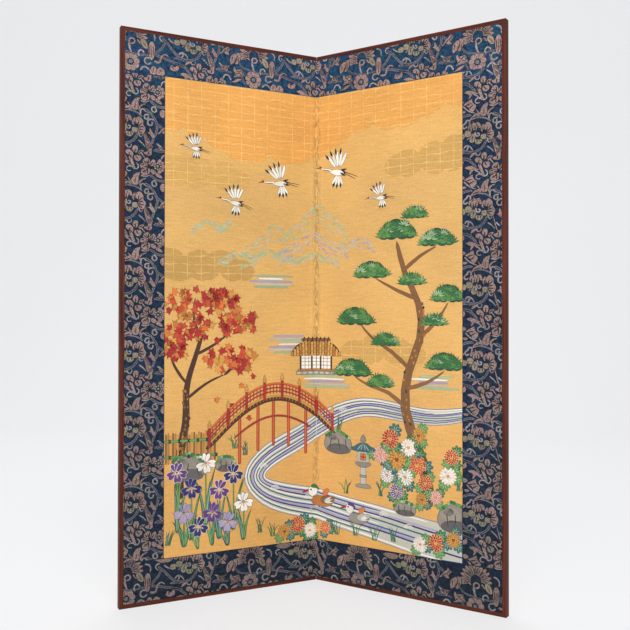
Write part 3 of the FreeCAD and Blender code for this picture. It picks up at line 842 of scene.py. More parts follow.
# %% Draw the stalk
def stalk_and_leaves():
    """Draw the stalk below the peony, its leaves and the long bent stem on its right."""
    drawn = stems([(5, -11.2), (3.4, -15), (0.4, -18.2), (-3.6, -20.6), (-9, -21.6), (-15, -20.8),
                   (-24, -21)])
    drawn += stems([(-24, -26.4), (-16, -27.8), (-10.4, -31.6), (-5.6, -37.4)],
                   [(13.6, 16.4), (17.6, 14.4), (21.2, 10.6), (23.8, 6.6), (25.8, 3), (26.6, -1.6),
                    (25.4, -7.6), (22.6, -13.6), (20.8, -19)], width=3.0)
    drawn += stems([(19.2, 25.4), (22.6, 22.9), (25.8, 20.8), (30, 20), (35, 20.6)],
                   [(-24, 14.4), (-18, 17.8), (-11.6, 17.2)], [(26.2, 2), (29.8, -0.6), (34, -3.4)],
                   [(23.4, -26.4), (28.6, -24.6), (33, -25.2)])
    drawn += lines([(-18.8, -16), (-16.6, -13.6), (-13.6, -14.4), (-10.8, -16.6), (-9.4, -19.4)],
                   [(-14.6, -15), (-14.6, -17.8), (-17, -20)], [(15.6, -17.6), (18.8, -20.8)],
                   [(26.4, -19.2), (29.6, -20.8), (32.4, -24)], width=2.6, end_width=1.4)
    drawn += lines([(-6.2, -22.2), (-5.6, -25), (-3, -25.8), (-0.8, -24), (-1.2, -21.6)],
                   [(6.8, -17.2), (10.6, -19.6), (13.8, -23.8)], [(27.4, -8), (32, -4.2)],
                   width=2.2, end_width=1.1)
    drawn += petals([(-12.8, -27.4), (-11.4, -23.4), (-8, -21.8), (-5.8, -23), (-8.6, -25.6)],
                    [(14.4, -8.6), (17.6, -7.2), (17.4, -4.2), (19.6, -3), (21.6, -7.2), (24.4, -10.2),
                     (23.8, -14), (20.2, -13), (18.2, -9.8)],
                    [(28.8, 12), (30.2, 17), (34.2, 17.6), (35.2, 12), (32.4, 8.8)], layer=2)
    return drawn + petals([(23.6, 30.6), (26.4, 29), (30, 27), (32, 23), (27, 24), (24, 26.2)])


stalk_patches = stalk_and_leaves()
print("the stalk has", len(stalk_patches), "patches")

# %% [markdown]
# ## The small flowers of the column
# Below the peony grows a pansy with a hollow star bud. Above it stand a tulip bud, a star leaf and the
# open flower with a ring of beads in its heart.

# %% Draw the small flowers
def pansy():
    """Draw the small flower of four petals and the hollow star bud beside it."""
    flower = petals(
        [(0, -28.2), (0.4, -24), (3, -22.4), (6, -24), (5.8, -28.6), (3.4, -30.6)],
        [(-7, -28.4), (-3.4, -27), (0, -29.2), (1.4, -33), (-1.2, -37.2), (-4.2, -36.6), (-3.8, -33.6),
         (-6.8, -32)],
        [(1.8, -34), (4.6, -32.6), (8.8, -33), (9.8, -36.4), (6.4, -39.4), (2.6, -38)],
        [(6.2, -29.8), (8, -27), (12.2, -26.6), (12, -29), (9.8, -30.2), (7.8, -32.6)])
    flower += lines([(8.6, -29.6), (10.4, -31.4), (13.2, -35)], width=2, end_width=1.2)
    flower += petals([(15.2, -22.2), (17.2, -25.4), (22.4, -22), (20.6, -26.5), (21, -30.8), (17, -32.8),
                      (12, -30.4), (13.2, -28), (16, -27.4)])
    return flower + slits([(2.8, -30), (3, -25.8)], [(-3.4, -33.8), (-2.6, -30.2)],
                          [(17, -31), (17.9, -27.4)], [(-1.6, -33.6), (-1.8, -36)],
                          [(4, -34), (6.4, -37)], [(7.6, -29.6), (10.6, -27.8)])


def tulip_and_leaves():
    """Draw the tulip bud, the star leaf and the leaf with two curled ends."""
    drawn = petals(
        [(-20, 29.2), (-14.6, 32), (-10, 34.4), (-9.2, 29.8), (-5.2, 26.8), (-8.2, 21), (-12, 20),
         (-14, 24.6), (-17, 27)],
        [(-19.4, 41), (-14.8, 43.4), (-10, 42.6), (-6, 40.4), (-2.4, 39), (-6, 37.2), (-9.6, 37.6),
         (-12, 34), (-14.8, 34.8), (-13.6, 38.4)],
        [(-4.6, 43), (-1.6, 44.4), (0.8, 40), (2.2, 35.4), (3.2, 32), (0.2, 32), (-2.2, 37)])
    drawn += petals([(-23.6, 21.8), (-20, 22.8), (-16.6, 21.6), (-20, 19)],
                    [(-25, 34), (-20.4, 33.4), (-19, 30.6), (-24, 28.8)])
    drawn += slits([(-16.8, 27.8), (-10.6, 29.4)], [(-13.8, 24.4), (-8.4, 27.4)])
    drawn += lines([(-19.6, 27), (-15.4, 22.6), (-10.4, 19.8), (-6.2, 18.6)],
                   [(-7.6, 38), (-4, 36.4), (-1.4, 33.6)], width=2.2, end_width=1.1)
    return drawn + lines([(1, 31.8), (3.8, 30.8), (6.2, 33), (5.8, 36), (3.8, 37.4)],
                         [(1, 32.4), (-2, 34.2), (-5.2, 33.6), (-7, 30.8), (-5, 28.2), (-2.2, 29)],
                         width=2.3, end_width=1.7, layer=4)


def open_flower():
    """Draw the open flower with its fine rosette."""
    heart = (26.6, 35.8)
    flower = petals(
        [(7.6, 36.4), (8.4, 32.4), (12.6, 31.4), (16.6, 34.6), (13.6, 37.6), (10.4, 38)],
        [(9, 31), (9.4, 26.6), (13.2, 24.8), (18, 27.4), (18.4, 32), (15.6, 33.4)],
        [(10.4, 38.4), (12, 42.8), (16.2, 44.4), (18.6, 40.4), (17, 36.2)],
        [(18.2, 36.6), (19.6, 41.4), (23, 43), (24.6, 38.6), (21.4, 35.4)],
        [(19.4, 32.6), (19.4, 27.8), (23.6, 26.6), (24.6, 30.6)])
    flower += slits([(16.6, 34.6), (11.8, 34.4)], [(15.8, 32.8), (12.8, 28.6)], [(17, 36.6), (14.4, 40.8)],
                    [(19.4, 36.8), (21.4, 40.2)], [(15.8, 31), (15.6, 26.6)], [(12.6, 30.4), (10.4, 28)],
                    [(11.4, 32.6), (9, 32.8)], [(11.2, 36), (9, 36.4)], [(14, 38.4), (12, 40.6)],
                    [(16.4, 39), (16.6, 42.6)])
    flower += ring_of(symmetric(ROUND_SHARES, 4.6, 4.2), (20, 55, 90, 125, 160), 3.6, "rose", heart,
                      edge="navy", rim=0.3)
    beads = [heading(turn, 3.4) for turn in range(0, 360, 45)]
    flower += discs(*((heart[0] + x, heart[1] + z, 2.5) for x, z in beads), thread="pale", layer=4)
    flower += discs((*heart, 3.0))
    return flower + lines([(9.4, 24.8), (13.6, 23.2), (18.2, 26)], width=2.3, end_width=1.2)


TWIN_COLUMN = peony_patches + stalk_patches + pansy() + tulip_and_leaves() + open_flower()
print("the paired peony's column has", len(TWIN_COLUMN), "patches")

# %% [markdown]
# ## The fan peony
# Halfway between two paired peonies stands the fan peony over its looped heart. It is a fan of narrow
# petals, parted by dark lines, with a stem below it that ends at a round flower.

# %% Draw the fan peony
def fan_peony():
    """Draw a peony from the side, with its looped heart and the round flower below it."""
    heart_x, heart_z = 67.2, -5.4
    turns = (-108, -90, -73, -56, -40, -24, -8, 8, 24, 40, 56, 73, 90)
    flower = ring_of(symmetric(PETAL_SHARES, 12.4, 4.6), turns, 4.8, "rose", (heart_x, heart_z),
                     edge="navy", rim=NAVY_RIM)
    for turn in turns:
        start, end = heading(turn - 2, 7.0), heading(turn - 1, 13.6)
        flower += slits([(heart_x + x, heart_z + z) for x, z in (start, end)], width=1.3)
    flower += petals([(77, -7.4), (80.8, -6.8), (84, -10.2), (85.2, -16), (81.2, -16.8), (77.4, -12.4)],
                     thread="olive", layer=4)
    flower += slits([(82.6, -14.4), (79.4, -9.6)], thread="copper", layer=7)
    flower += lines([(52, -4.6), (53.4, -8.8), (56.4, -10.4)], [(58, -5), (59.2, -9.2), (62, -10.6)],
                    [(74, -8.6), (77, -12.8)], width=2.3, end_width=1.7, thread="rose", layer=4)
    flower += lines([(65.8, -14), (64.6, -11.4), (65.6, -8.2), (68.6, -7.4), (71.4, -9.6), (70.4, -12.8),
                     (67.6, -13.4)], width=2.3, thread="rose", layer=5)
    flower += lines([(65.2, -12.6), (65, -17), (67.6, -22.8)], width=3.2, end_width=2.0, layer=4)
    bloom_at = (66.6, -32.4)
    bloom = ring_of(symmetric(ROUND_SHARES, 6.4, 5.8), range(0, 360, 40), 3.4, "rose", bloom_at,
                    edge="navy", rim=0.3)
    return flower + bloom + discs((*bloom_at, 4.4), thread="stem", layer=5)


fan_patches = fan_peony()
print("the fan peony has", len(fan_patches), "patches")

# %% [markdown]
# ## The buds and forked stems round the fan
# A split bud and star leaves lie on the fan's left, and a corn-shaped bud with forked stems on its right.
# They fill the space up to the next paired peony, so that the pattern runs on without a gap.

# %% Draw what grows round the fan
def split_bud_and_leaves():
    """Draw the bud of two halves, the star leaves and the thin leaves on the fan's left."""
    drawn = petals(
        [(39.4, -18.8), (38.6, -12), (41.4, -7.6), (45.8, -5.4), (47.2, -10), (44.6, -15.8), (41.8, -17.6)],
        [(46, -4.6), (50.8, -5.8), (51.4, -11), (48.6, -16.6), (46.4, -18), (44.6, -16), (47.6, -10.4)],
        [(27, -9.6), (31.4, -7), (33.6, -8.6), (38.8, -8.2), (37.4, -4.6), (42, -0.8), (37.4, -0.6),
         (36.4, 3.6), (34.2, -0.4), (30.8, -2.4)])
    drawn += petals(
        [(44, -20.2), (47.6, -23.2), (54, -21.4), (52.4, -25.6), (57.4, -30.2), (52, -29.6), (48.4, -31),
         (42.2, -33), (44.6, -28.4), (42.4, -25.2)],
        [(27.2, -20.4), (31, -22.8), (33.6, -23.8), (39, -20.2), (36.4, -24.6), (36, -27.6), (32.6, -26.4),
         (30, -26), (28.2, -24)],
        [(38.4, -38.4), (43, -36.4), (47, -33.4), (53, -33.4), (49, -36.8), (44, -38.4)], layer=1)
    drawn += slits([(48.2, -8), (43.6, -15.8)], width=1.6, thread="copper")
    drawn += slits([(41.6, -9.6), (41.2, -15)], [(48.4, -15), (49.6, -9)], [(48, -26), (45.4, -22)],
                   [(48.6, -26), (52.4, -23.4)], [(49, -27), (54, -29.2)], [(47.4, -27.6), (44, -31)],
                   [(34.2, -3.6), (30, -7.2)], [(35.4, -3.4), (37.4, -6.6)], [(35.8, -2.4), (39.4, -1.2)],
                   [(32.4, -25.2), (29.2, -22)], [(33.8, -25.2), (37.2, -21.8)], width=1.2)
    drawn += stems([(26, -27.4), (32, -26.4), (41, -27.4)], [(51, -30), (54.4, -33.6), (56.4, -38)],
                   [(50, -16), (52.6, -19.4), (57, -21.6), (65, -22.8), (75, -24.4), (92, -22.4)], width=2.3)
    return drawn + lines([(31.2, -34.6), (32.4, -31), (35.6, -30.4), (38.6, -32.4), (39.8, -35.6)],
                         [(75.4, -25), (74.4, -21.4), (76.6, -18.6), (79.4, -18.6), (80.6, -21.2)],
                         [(86.6, -26.2), (83.2, -25.4), (81, -28.4), (82, -32.2), (85.4, -33.4), (88, -31.2)],
                         [(77.4, -39.4), (79.6, -36), (83, -35.4), (86.6, -38.8)])


def forked_stems():
    """Draw the corn-shaped bud, the forked stems and the small hooks on the fan's right."""
    drawn = petals([(-51.8, -9.6), (-48.6, -7), (-45.6, -10.4), (-45.6, -19), (-47.4, -26), (-51.2, -25.6),
                    (-52.6, -17)], layer=2)
    drawn += slits([(-49.2, -24), (-48.8, -11.6)], thread="copper")
    drawn += slits([(-50.9, -12), (-51.1, -22)], [(-46.9, -12), (-47.1, -22)], [(-47, -35), (-48, -40)],
                   [(-39.4, -35.6), (-40.6, -40)], [(-26.4, -29.6), (-25.4, -33.4)], width=1.2)
    drawn += petals([(-29.8, -33), (-26.4, -27.8), (-24.4, -31), (-20.8, -27.6), (-19.2, -32.8),
                     (-24.4, -35.4)],
                    [(-51, -42), (-50, -35), (-46.4, -32.6), (-43.4, -36), (-45, -42)],
                    [(-44, -42), (-42.4, -34.4), (-38.4, -33.2), (-34.6, -37), (-36.6, -42)],
                    [(-40.6, 6), (-35.4, 2), (-29.6, 1.2), (-24, 2.2), (-21.6, 6), (-30, 8)])
    drawn += stems([(-47, -21), (-41, -15.6), (-36.6, -11), (-33.6, -4.4)],
                   [(-37, -2.4), (-31.6, -6.6), (-27, -12.4), (-22, -17.6), (-14.2, -22.4)], width=3.0)
    drawn += stems([(-46.6, -20.6), (-38, -22.2), (-30, -24.4), (-22, -26.6), (-12, -28.8)])
    drawn += lines([(-45.4, -27.8), (-41.6, -28.8), (-39.6, -27), (-39, -22.6), (-37, -19.4), (-33.4, -18.2),
                    (-30.8, -20.8)], width=3.1, end_width=1.7, thread="rose", layer=3)
    return drawn + lines([(-36.4, 1), (-38.8, 1.2), (-40.6, -1), (-40, -4), (-37.4, -5.4)],
                         [(-51, 2.6), (-47.4, 1.8), (-45.2, -1.6), (-46, -6)],
                         [(-30.6, -1.4), (-28, -4), (-23.4, -6.2)], width=2.5, end_width=1.5)


FAN_COLUMN = fan_patches + split_bud_and_leaves() + forked_stems()
print("the fan peony's column has", len(FAN_COLUMN), "patches")

# %% [markdown]
# ## Cutting the strips
# The repeat is laid over each strip from where the pattern falls there, and the flat cloth is trimmed
# at the strip's edges, so flowers are cut off as they are on a real mounting. The strips were pasted by
# hand, so on each the pattern creeps down by a millimetre or so with every repeat to the right and
# leans a little. Both are part of how the strip was laid.

# %% Weave the arabesque over the strips
ABOVE_GROUND = 0.01 * MM
COLUMNS, ROWS = range(-3, 4), range(-5, 5)
LAID = {
    "top_band": ((-7.8, 600.0), -1.2, -0.6), "bottom_band": ((-10.5, 39.3), -1.6, -0.6),
    "left_strip": ((-213.6, 269.5), -1.4, -0.48), "right_strip": ((202.5, 338.0), -1.4, -0.82),
}
ROSE_TINT, OLIVE_TINT = (1.08, 0.93, 1.06, 1), (0.95, 1.03, 0.8, 1)
# The arabesque's floats get painted shade at the foot and painted light in the top band.
FOOT_PAINTED_SHADE, TOP_PAINTED_LIGHT = (0.74, 0.89, 1.0, 1), (1.02, 1.13, 1.26, 1)
arabesque_finish = floats_finish("arabesque_floats", 0.26, (ROSE_TINT, OLIVE_TINT),
                                 (FOOT_PAINTED_SHADE, TOP_PAINTED_LIGHT), 0.42, Specular_IOR_Level=0.25)
for seed, (name, limits) in enumerate(STRIPS.items()):
    left, right, low, high = (limit / MM for limit in limits)
    (start_x, start_z), creep, lean = LAID[name]
    patches = []
    for column in COLUMNS:
        for row in ROWS:
            x = start_x + column * REPEAT_ACROSS + row * lean
            z = start_z + column * creep + row * REPEAT_UP
            for outline, *look in TWIN_COLUMN + FAN_COLUMN:
                spots = [(x + across, z + up) for across, up in outline]
                if (min(spot[0] for spot in spots) < right and max(spot[0] for spot in spots) > left
                        and min(spot[1] for spot in spots) < high and max(spot[1] for spot in spots) > low):
                    patches.append((spots, *look))
    float_relief(f"{name}_arabesque", patches, limits, band_depth - ABOVE_GROUND,
                                arabesque_finish, seed)

# %% [markdown]
# ## Picture cloth
# The picture is one piece of gold brocade that runs over the fold. Beside the fold it has fine upright
# creases, because it was pasted down in the valley while damp, so its mesh gets narrow columns there.

# %% The gold ground
GOLD_HEIGHTS = ((0.0, (231, 174, 94)), (0.16, (229, 174, 98)), (0.5, (230, 180, 104)),
                (0.78, (221, 175, 103)), (0.9, (232, 180, 102)), (1.0, (236, 172, 88)))


def beside_fold(tree, reach):
    """Give 1 at the fold, falling to 0 at a reach on both sides of it."""
    across = product(tree, flat_part(tree, "X"), 0.0, "ABSOLUTE")
    return spread(tree, across, 0.0, reach, 1.0, 0.0)


def folded_gold(tree, shader, dye):
    """Weave gold in a dye, wrinkled upright beside the fold, with painted shade in the valley and painted
    crease highlights and shade beside it.
    """
    wrinkles = product(tree, noise(tree, flat_place(tree, 1, 0.3), 460.0, 2.0), beside_fold(tree, 8 * MM))
    # Painted highlights and painted shade of the creases, within a few millimetres of the fold.
    folds = spread(tree, noise(tree, flat_place(tree, 1, 0.28), 560.0, 1.0), 0.4, 0.6, -0.26, 0.24)
    wear_and_crease_shade = product(tree, product(tree, folds, beside_fold(tree, 6 * MM)), 0.98, "ADD")
    # Painted shade, darker towards the fold's valley.
    valley = spread(tree, beside_fold(tree, 7 * MM), 0.0, 1.0, 1.0, 0.82)
    shade = product(tree, product(tree, uneven_wefts(tree, 0.2), wear_and_crease_shade), valley)
    tree.links.new(multiplied(tree, dye, shade), shader.inputs["Base Color"])
    bent = node(tree, "ShaderNodeBump", {"Height": wrinkles, "Distance": 1.7 * MM, "Strength": 0.9})
    ribs(tree, shader, 0.05 * MM, over=bent.outputs["Normal"])


gold_ground, tree, shader = new_finish("gold_ground", 0.5, Metallic=0.15)
folded_gold(tree, shader, height_colours(tree, GOLD_HEIGHTS, picture_low.z, picture_high.z))

picture_depth, picture_thickness = picture_low.y, picture_high.y - picture_low.y
picture_limits = (-picture_high.x, picture_high.x, picture_low.z, picture_high.z)
FIRST_CREASE, CREASE_STEP, ROW_STEP = 0.85, 0.45, 3
crease_columns = [side * (FIRST_CREASE + step * CREASE_STEP) * MM for side in (-1, 1)
                  for step in range(1, 24)]
picture_rows = [picture_low.z + step * ROW_STEP * MM for step in range(1, 171)]
picture = ground_cloth("woven_picture", picture_limits, picture_depth, picture_thickness, gold_ground,
                       crease_columns, picture_rows, creased=True)
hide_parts("left_picture", "right_picture")

# %% [markdown]
# ## Mist over the picture
# Old screens are crossed by bands of gold mist with scalloped edges. Here the mist is woven in its own
# weft, with a light lattice in it. Its edge is drawn lobe by lobe, and the lattice is a pattern of the
# material, because it has to stop exactly at the mist's edge.

# %% Mist and its lattice
LATTICE_ACROSS = 15.5 * MM
LATTICE_UP = 9.0 * MM
FIRST_PICTURE_SEED = 11
picture_relief = []


def weave_on_picture(name, patches, stand, finish, rounds=2):
    """Weave a group of motifs over the picture, at a height in millimetres over its ground."""
    seed = FIRST_PICTURE_SEED + len(picture_relief)
    picture_relief.append(float_relief(f"picture_{name}", patches, picture_limits, picture_depth - stand * MM,
                                       finish, seed, creased=True, rounds=rounds))


def scalloped(corners, bulge):
    """Draw an outline whose sides between the corners bulge outwards as lobes."""
    outline = []
    for step, (x, z) in enumerate(corners):
        next_x, next_z = corners[(step + 1) % len(corners)]
        out_x, out_z = next_z - z, x - next_x
        for share, swell in ((0.02, 0.1), (0.18, 0.72), (0.5, 1.0), (0.82, 0.72), (0.98, 0.1)):
            outline.append((x + (next_x - x) * share + out_x * bulge * swell,
                            z + (next_z - z) * share + out_z * bulge * swell))
    return outline


mist_finish, tree, shader = new_finish("mist_weave", 0.5, Metallic=0.15)
wander = spread(tree, flat_noise(tree, 90.0, 2.0), 0, 1, -2.6 * MM, 2.6 * MM)
across_line = product(tree, flat_part(tree, "X"), LATTICE_ACROSS / 2, "PINGPONG")
bent_up = product(tree, flat_part(tree, "Y"), wander, "ADD")
level_line = product(tree, bent_up, LATTICE_UP / 2, "PINGPONG")
lattice = product(tree, spread(tree, across_line, 0.1 * MM, 0.6 * MM, 1.0, 0.0),
                  spread(tree, level_line, 0.1 * MM, 0.7 * MM, 1.0, 0.0), "MAXIMUM")
wear_and_crease_shade = spread(tree, flat_noise(tree, 120.0, 3.0), 0.4, 0.6, 0.14, 0.68)
thread = node(tree, "ShaderNodeVertexColor", layer_name="thread").outputs["Color"]
laced = blend_colours(tree, product(tree, lattice, wear_and_crease_shade), thread, colour(252, 212, 140))
folded_gold(tree, shader, laced)

TOP_MIST = ((-186, 566), (-186, 505), (-160, 508), (-134, 500), (-112, 484), (-86, 478), (-58, 486),
            (-30, 480), (-6, 490), (22, 500), (46, 514), (74, 520), (104, 512), (132, 520), (160, 532),
            (186, 528), (186, 566))
KHAKI_MISTS = (
    ((-186, 452), (-158, 446), (-128, 452), (-104, 444), (-82, 452), (-98, 466), (-128, 470),
     (-156, 474), (-186, 470)),
    ((88, 466), (108, 458), (134, 464), (160, 458), (186, 466), (186, 490), (158, 488), (130, 480),
     (106, 482)),
    ((-186, 352), (-150, 346), (-118, 352), (-96, 344), (-76, 354), (-96, 366), (-130, 372),
     (-158, 368), (-186, 374)),
    ((30, 262), (58, 254), (88, 260), (112, 252), (140, 260), (120, 274), (90, 278), (58, 276)),
)
mist = patch(scalloped(TOP_MIST, 0.2), "mist_orange", "khaki", rim=0.5)
for corners in KHAKI_MISTS:
    mist += patch(scalloped(corners, 0.24), "khaki", "mist_orange", rim=0.4)
weave_on_picture("mist", mist, 0.01, mist_finish)

# %% [markdown]
# ## The garden in the picture
# The picture is a garden by a stream in early autumn, with motifs that every weaver of screens knows:
# a pine, a maple, an arched bridge, irises and chrysanthemums, and cranes above far hills. Each motif
# is a function that returns its patches, and the drawing order is the order of the layers.

# %% Far hills and cranes
STROKE_STEP = 0.75


def hatched_hill(ridge, depth, threads, seed):
    """Draw a far hill as short slanting strokes, close at its ridge and sparse below it."""
    draw = random.Random(seed)
    hill = []
    for (x, z), (next_x, next_z) in zip(ridge, ridge[1:]):
        count = max(2, round(abs(next_x - x) / STROKE_STEP))
        for step in range(count):
            share = (step + draw.random()) / count
            reach = draw.random() ** 1.7 * depth
            top = (x + (next_x - x) * share, z + (next_z - z) * share - reach)
            slope = 1 if next_z > z else -1
            length = draw.uniform(2.4, 4.8)
            stroke = [top, (top[0] - slope * length * 0.45, top[1] - length * 0.34),
                      (top[0] - slope * length, top[1] - length * 0.5)]
            hill += patch(ribbon(stroke, 1.3, 0.8), draw.choice(threads), layer=step % 2, rim=0.12)
    return hill


def crane():
    """Draw a flying crane that stretches its neck to the left."""
    edge = {"edge": "ink", "rim": 0.28}
    wing, tail = (1, 0), (1.5, -1)
    bird = patch(ribbon([(6, 0.2), (16, -1.0), (25, -3.4)], 0.9, 0.5), "ink", rim=0.12)
    bird += patch(ribbon([(6, -0.6), (15, -3.0), (23, -6.0)], 0.9, 0.5), "ink", rim=0.12)
    bird += ring_of(symmetric(LEAF_SHARES, 8.0, 2.6), (72, 90, 108), 3.0, "ink", rim=0.2, layer=1)
    bird += ring_of(symmetric(PETAL_SHARES, 15.0, 3.4), (-46, -30, -14, 2, 18), 5.0, "white", wing,
                    layer=1, **edge)
    bird += ring_of(symmetric(LEAF_SHARES, 7.0, 2.4), (-50, -34, -18, -2), 17.0, "ink", wing,
                    rim=0.2, layer=2)
    bird += ring_of(symmetric(PETAL_SHARES, 10.0, 3.0), (150, 168, 186, 204), 3.0, "white", tail,
                    layer=1, **edge)
    bird += ring_of(symmetric(LEAF_SHARES, 5.6, 2.2), (160, 178, 196), 10.4, "ink", tail,
                    rim=0.2, layer=2)
    bird += placed(patch(symmetric(LEAF_SHARES, 19.0, 6.6), "white", layer=4, **edge), (9.0, -1.4), -88)
    bird += patch(ribbon([(-7.0, 0), (-12.0, 1.2), (-16.5, 0.6), (-20.0, 1.6)], 2.3, 1.5),
                  "white", "ink", 5, 0.24)
    bird += patch(ribbon([(-9.0, -0.6), (-13.0, 0.2), (-17.0, -0.4)], 0.8, 0.5), "ink", layer=6, rim=0.1)
    bird += placed(patch(symmetric(ROUND_SHARES, 2.6, 2.6), "red", "ink", 6, 0.16), (-21.2, 0.9))
    return bird + patch(ribbon([(-22.0, 1.6), (-24.4, 1.2), (-27.0, 0.6)], 0.9, 0.4),
                        "umber", layer=5, rim=0.1)


HILLS = (
    (((-92, 374), (-70, 392), (-52, 410), (-38, 398), (-20, 416), (2, 436), (22, 418), (40, 404)), 22,
     ("pale_green", "pale_green", "haze")),
    (((-48, 378), (-24, 390), (-6, 404), (16, 392), (38, 384), (58, 396), (74, 386)), 16,
     ("haze", "haze", "lavender")),
    (((-118, 366), (-98, 378), (-80, 370), (-60, 380), (-30, 372), (0, 378), (30, 368)), 9,
     ("haze", "pale_green")),
    (((-150, 398), (-132, 410), (-118, 402), (-104, 412)), 9, ("pale_green", "haze")),
)
CRANES = ((-100, 430, 8, 0.86), (-46, 456, -6, 1.0), (28, 470, 10, 1.12), (84, 436, -4, 0.74),
          (-146, 486, 4, 0.7))
far = []
for seed, (ridge, depth, threads) in enumerate(HILLS, 1):
    far += hatched_hill(ridge, depth, threads, seed)
for across, up, turn, size in CRANES:
    far += placed(crane(), (across, up), turn, size)
garden_finish = floats_finish("garden_floats", 0.14, Sheen_Weight=0.08, Sheen_Roughness=0.4)
weave_on_picture("hills_and_cranes", far, 0.06, garden_finish)

# %% [markdown]
# ## The pine
# The pine's needles stand in tufts, each a small fan. The tufts overlap in rows from the back of a pad
# to its front, darker below and lighter above, which is how a weaver shades with two greens. The pads
# sit on boughs of one leaning trunk, whose bark is drawn as small plates.

# %% Pine
PAD_SHARES = ((-0.5, 0), (-0.25, -0.12), (0, -0.06), (0.25, -0.14), (0.5, 0), (0.36, 0.5), (0.1, 0.84),
              (-0.18, 0.8), (-0.4, 0.46))
PLATE_STEP = 4.2
TRUNK = [(141, 106), (141, 130), (128, 164), (112, 202), (116, 244), (134, 280), (132, 318), (112, 352),
         (104, 384)]
PINE_BOUGHS = (
    [(113, 206), (94, 222), (70, 226), (52, 236)], [(118, 248), (98, 266), (72, 280), (58, 296)],
    [(134, 284), (150, 296), (164, 318)], [(130, 322), (104, 332), (78, 346)],
    [(112, 354), (132, 370), (150, 378)], [(116, 226), (140, 232), (160, 246)],
)
PINE_PADS = ((48, 240, 46, 18), (84, 228, 30, 13), (160, 250, 40, 17), (52, 298, 44, 18), (90, 274, 30, 13),
             (164, 322, 36, 17), (72, 350, 42, 17), (152, 382, 40, 17), (104, 392, 46, 20),
             (122, 340, 28, 12), (148, 296, 26, 11), (126, 412, 26, 12))


def needle_tuft(size, thread, layer):
    """Draw a fan of needles."""
    return ring_of(symmetric(LEAF_SHARES, size, size * 0.27), (-84, -56, -28, 0, 28, 56, 84), size * 0.08,
                   thread, layer=layer, edge="deep_green", rim=0.2)


def pine_pad(wide, high, draw):
    """Draw one flat cloud of needles."""
    cloud = [(wide * across, high * up) for across, up in PAD_SHARES]
    pad = patch(scalloped(cloud, 0.2), "deep_green", "ink", rim=0.3)
    for row, (level, share) in enumerate(((0.56, 0.5), (0.28, 0.8), (0.0, 1.0))):
        count = max(2, round(wide * share / 6.4))
        for step in range(count):
            across = (step + 0.5) / count * wide * share - wide * share / 2 + draw.uniform(-0.7, 0.7)
            thread = draw.choice(("leaf", "green", "green", "pale_green" if row < 2 else "leaf"))
            pad += placed(needle_tuft(draw.uniform(6.2, 7.8), thread, 1 + (row + step) % 2),
                          (across, level * high - 1.0), draw.uniform(-10, 10))
    return pad


def bark_scales(path, width, draw):
    """Draw the plates of bark along a trunk."""
    scales = []
    for (x, z), (next_x, next_z) in zip(path, path[1:]):
        length = math.hypot(next_x - x, next_z - z)
        turn = math.degrees(math.atan2(next_x - x, next_z - z))
        for step in range(int(length / PLATE_STEP)):
            share = (step + 0.5) * PLATE_STEP / length
            for side in (-1, 1):
                off = heading(turn + 90, side * width * draw.uniform(0.12, 0.26))
                spot = (x + (next_x - x) * share + off[0], z + (next_z - z) * share + off[1])
                plate = symmetric(ROUND_SHARES, draw.uniform(2.6, 4.0), draw.uniform(1.8, 2.6))
                thread = draw.choice(("amber", "bark", "bark", "umber"))
                scales += placed(patch(plate, thread, "umber", 1 + step % 2, 0.2), spot,
                                 turn + draw.uniform(-20, 20))
    return scales


def pine(draw):
    """Draw the leaning pine: trunk, boughs, bark and pads."""
    drawn = patch(ribbon(TRUNK, 15, 5), "bark", "umber", rim=0.4) + bark_scales(TRUNK[:7], 13, draw)
    for bough in PINE_BOUGHS:
        drawn += patch(ribbon(bough, 5.4, 1.8), "bark", "umber", 1, 0.34)
    for across, up, wide, high in PINE_PADS:
        drawn += placed(pine_pad(wide, high, draw), (across, up), layer=2)
    return drawn


weave_on_picture("pine", pine(random.Random(5)), 0.12, garden_finish, rounds=1)

# %% [markdown]
# ## The maple
# The maple has a forked stem under clusters of leaves in five reds and golds, and some leaves fall. A
# leaf is one star outline, because the smoothing turns its twelve corners into lobes.

# %% Maple
LEAF_STAR = ((0, 1.5), (22, 0.34), (50, 1.4), (78, 0.34), (108, 1.2), (150, 0.3), (180, 0.3), (210, 0.3),
             (252, 1.2), (282, 0.34), (310, 1.4), (338, 0.34))
STEM = [(-162, 112), (-166, 150), (-154, 190), (-158, 226), (-146, 258), (-136, 292)]
MAPLE_BOUGHS = (
    [(-156, 214), (-134, 232), (-112, 240)], [(-156, 232), (-172, 252), (-176, 276)],
    [(-146, 262), (-124, 272), (-104, 288)], [(-140, 280), (-150, 304), (-146, 324)],
    [(-112, 240), (-98, 252), (-88, 256)],
)
LEAF_COUNT = 250
CLUSTERS = ((-126, 292, 36, 20), (-150, 318, 30, 16), (-104, 256, 30, 14), (-166, 276, 16, 20),
            (-96, 298, 24, 14), (-118, 322, 20, 10))
FALLING_LEAVES = ((-92, 226), (-78, 238), (-104, 204), (-120, 212), (-70, 214), (-132, 178), (-84, 190))


def maple_leaf(size):
    """Draw a leaf of five lobes as one star."""
    return [heading(turn, size * reach) for turn, reach in LEAF_STAR]


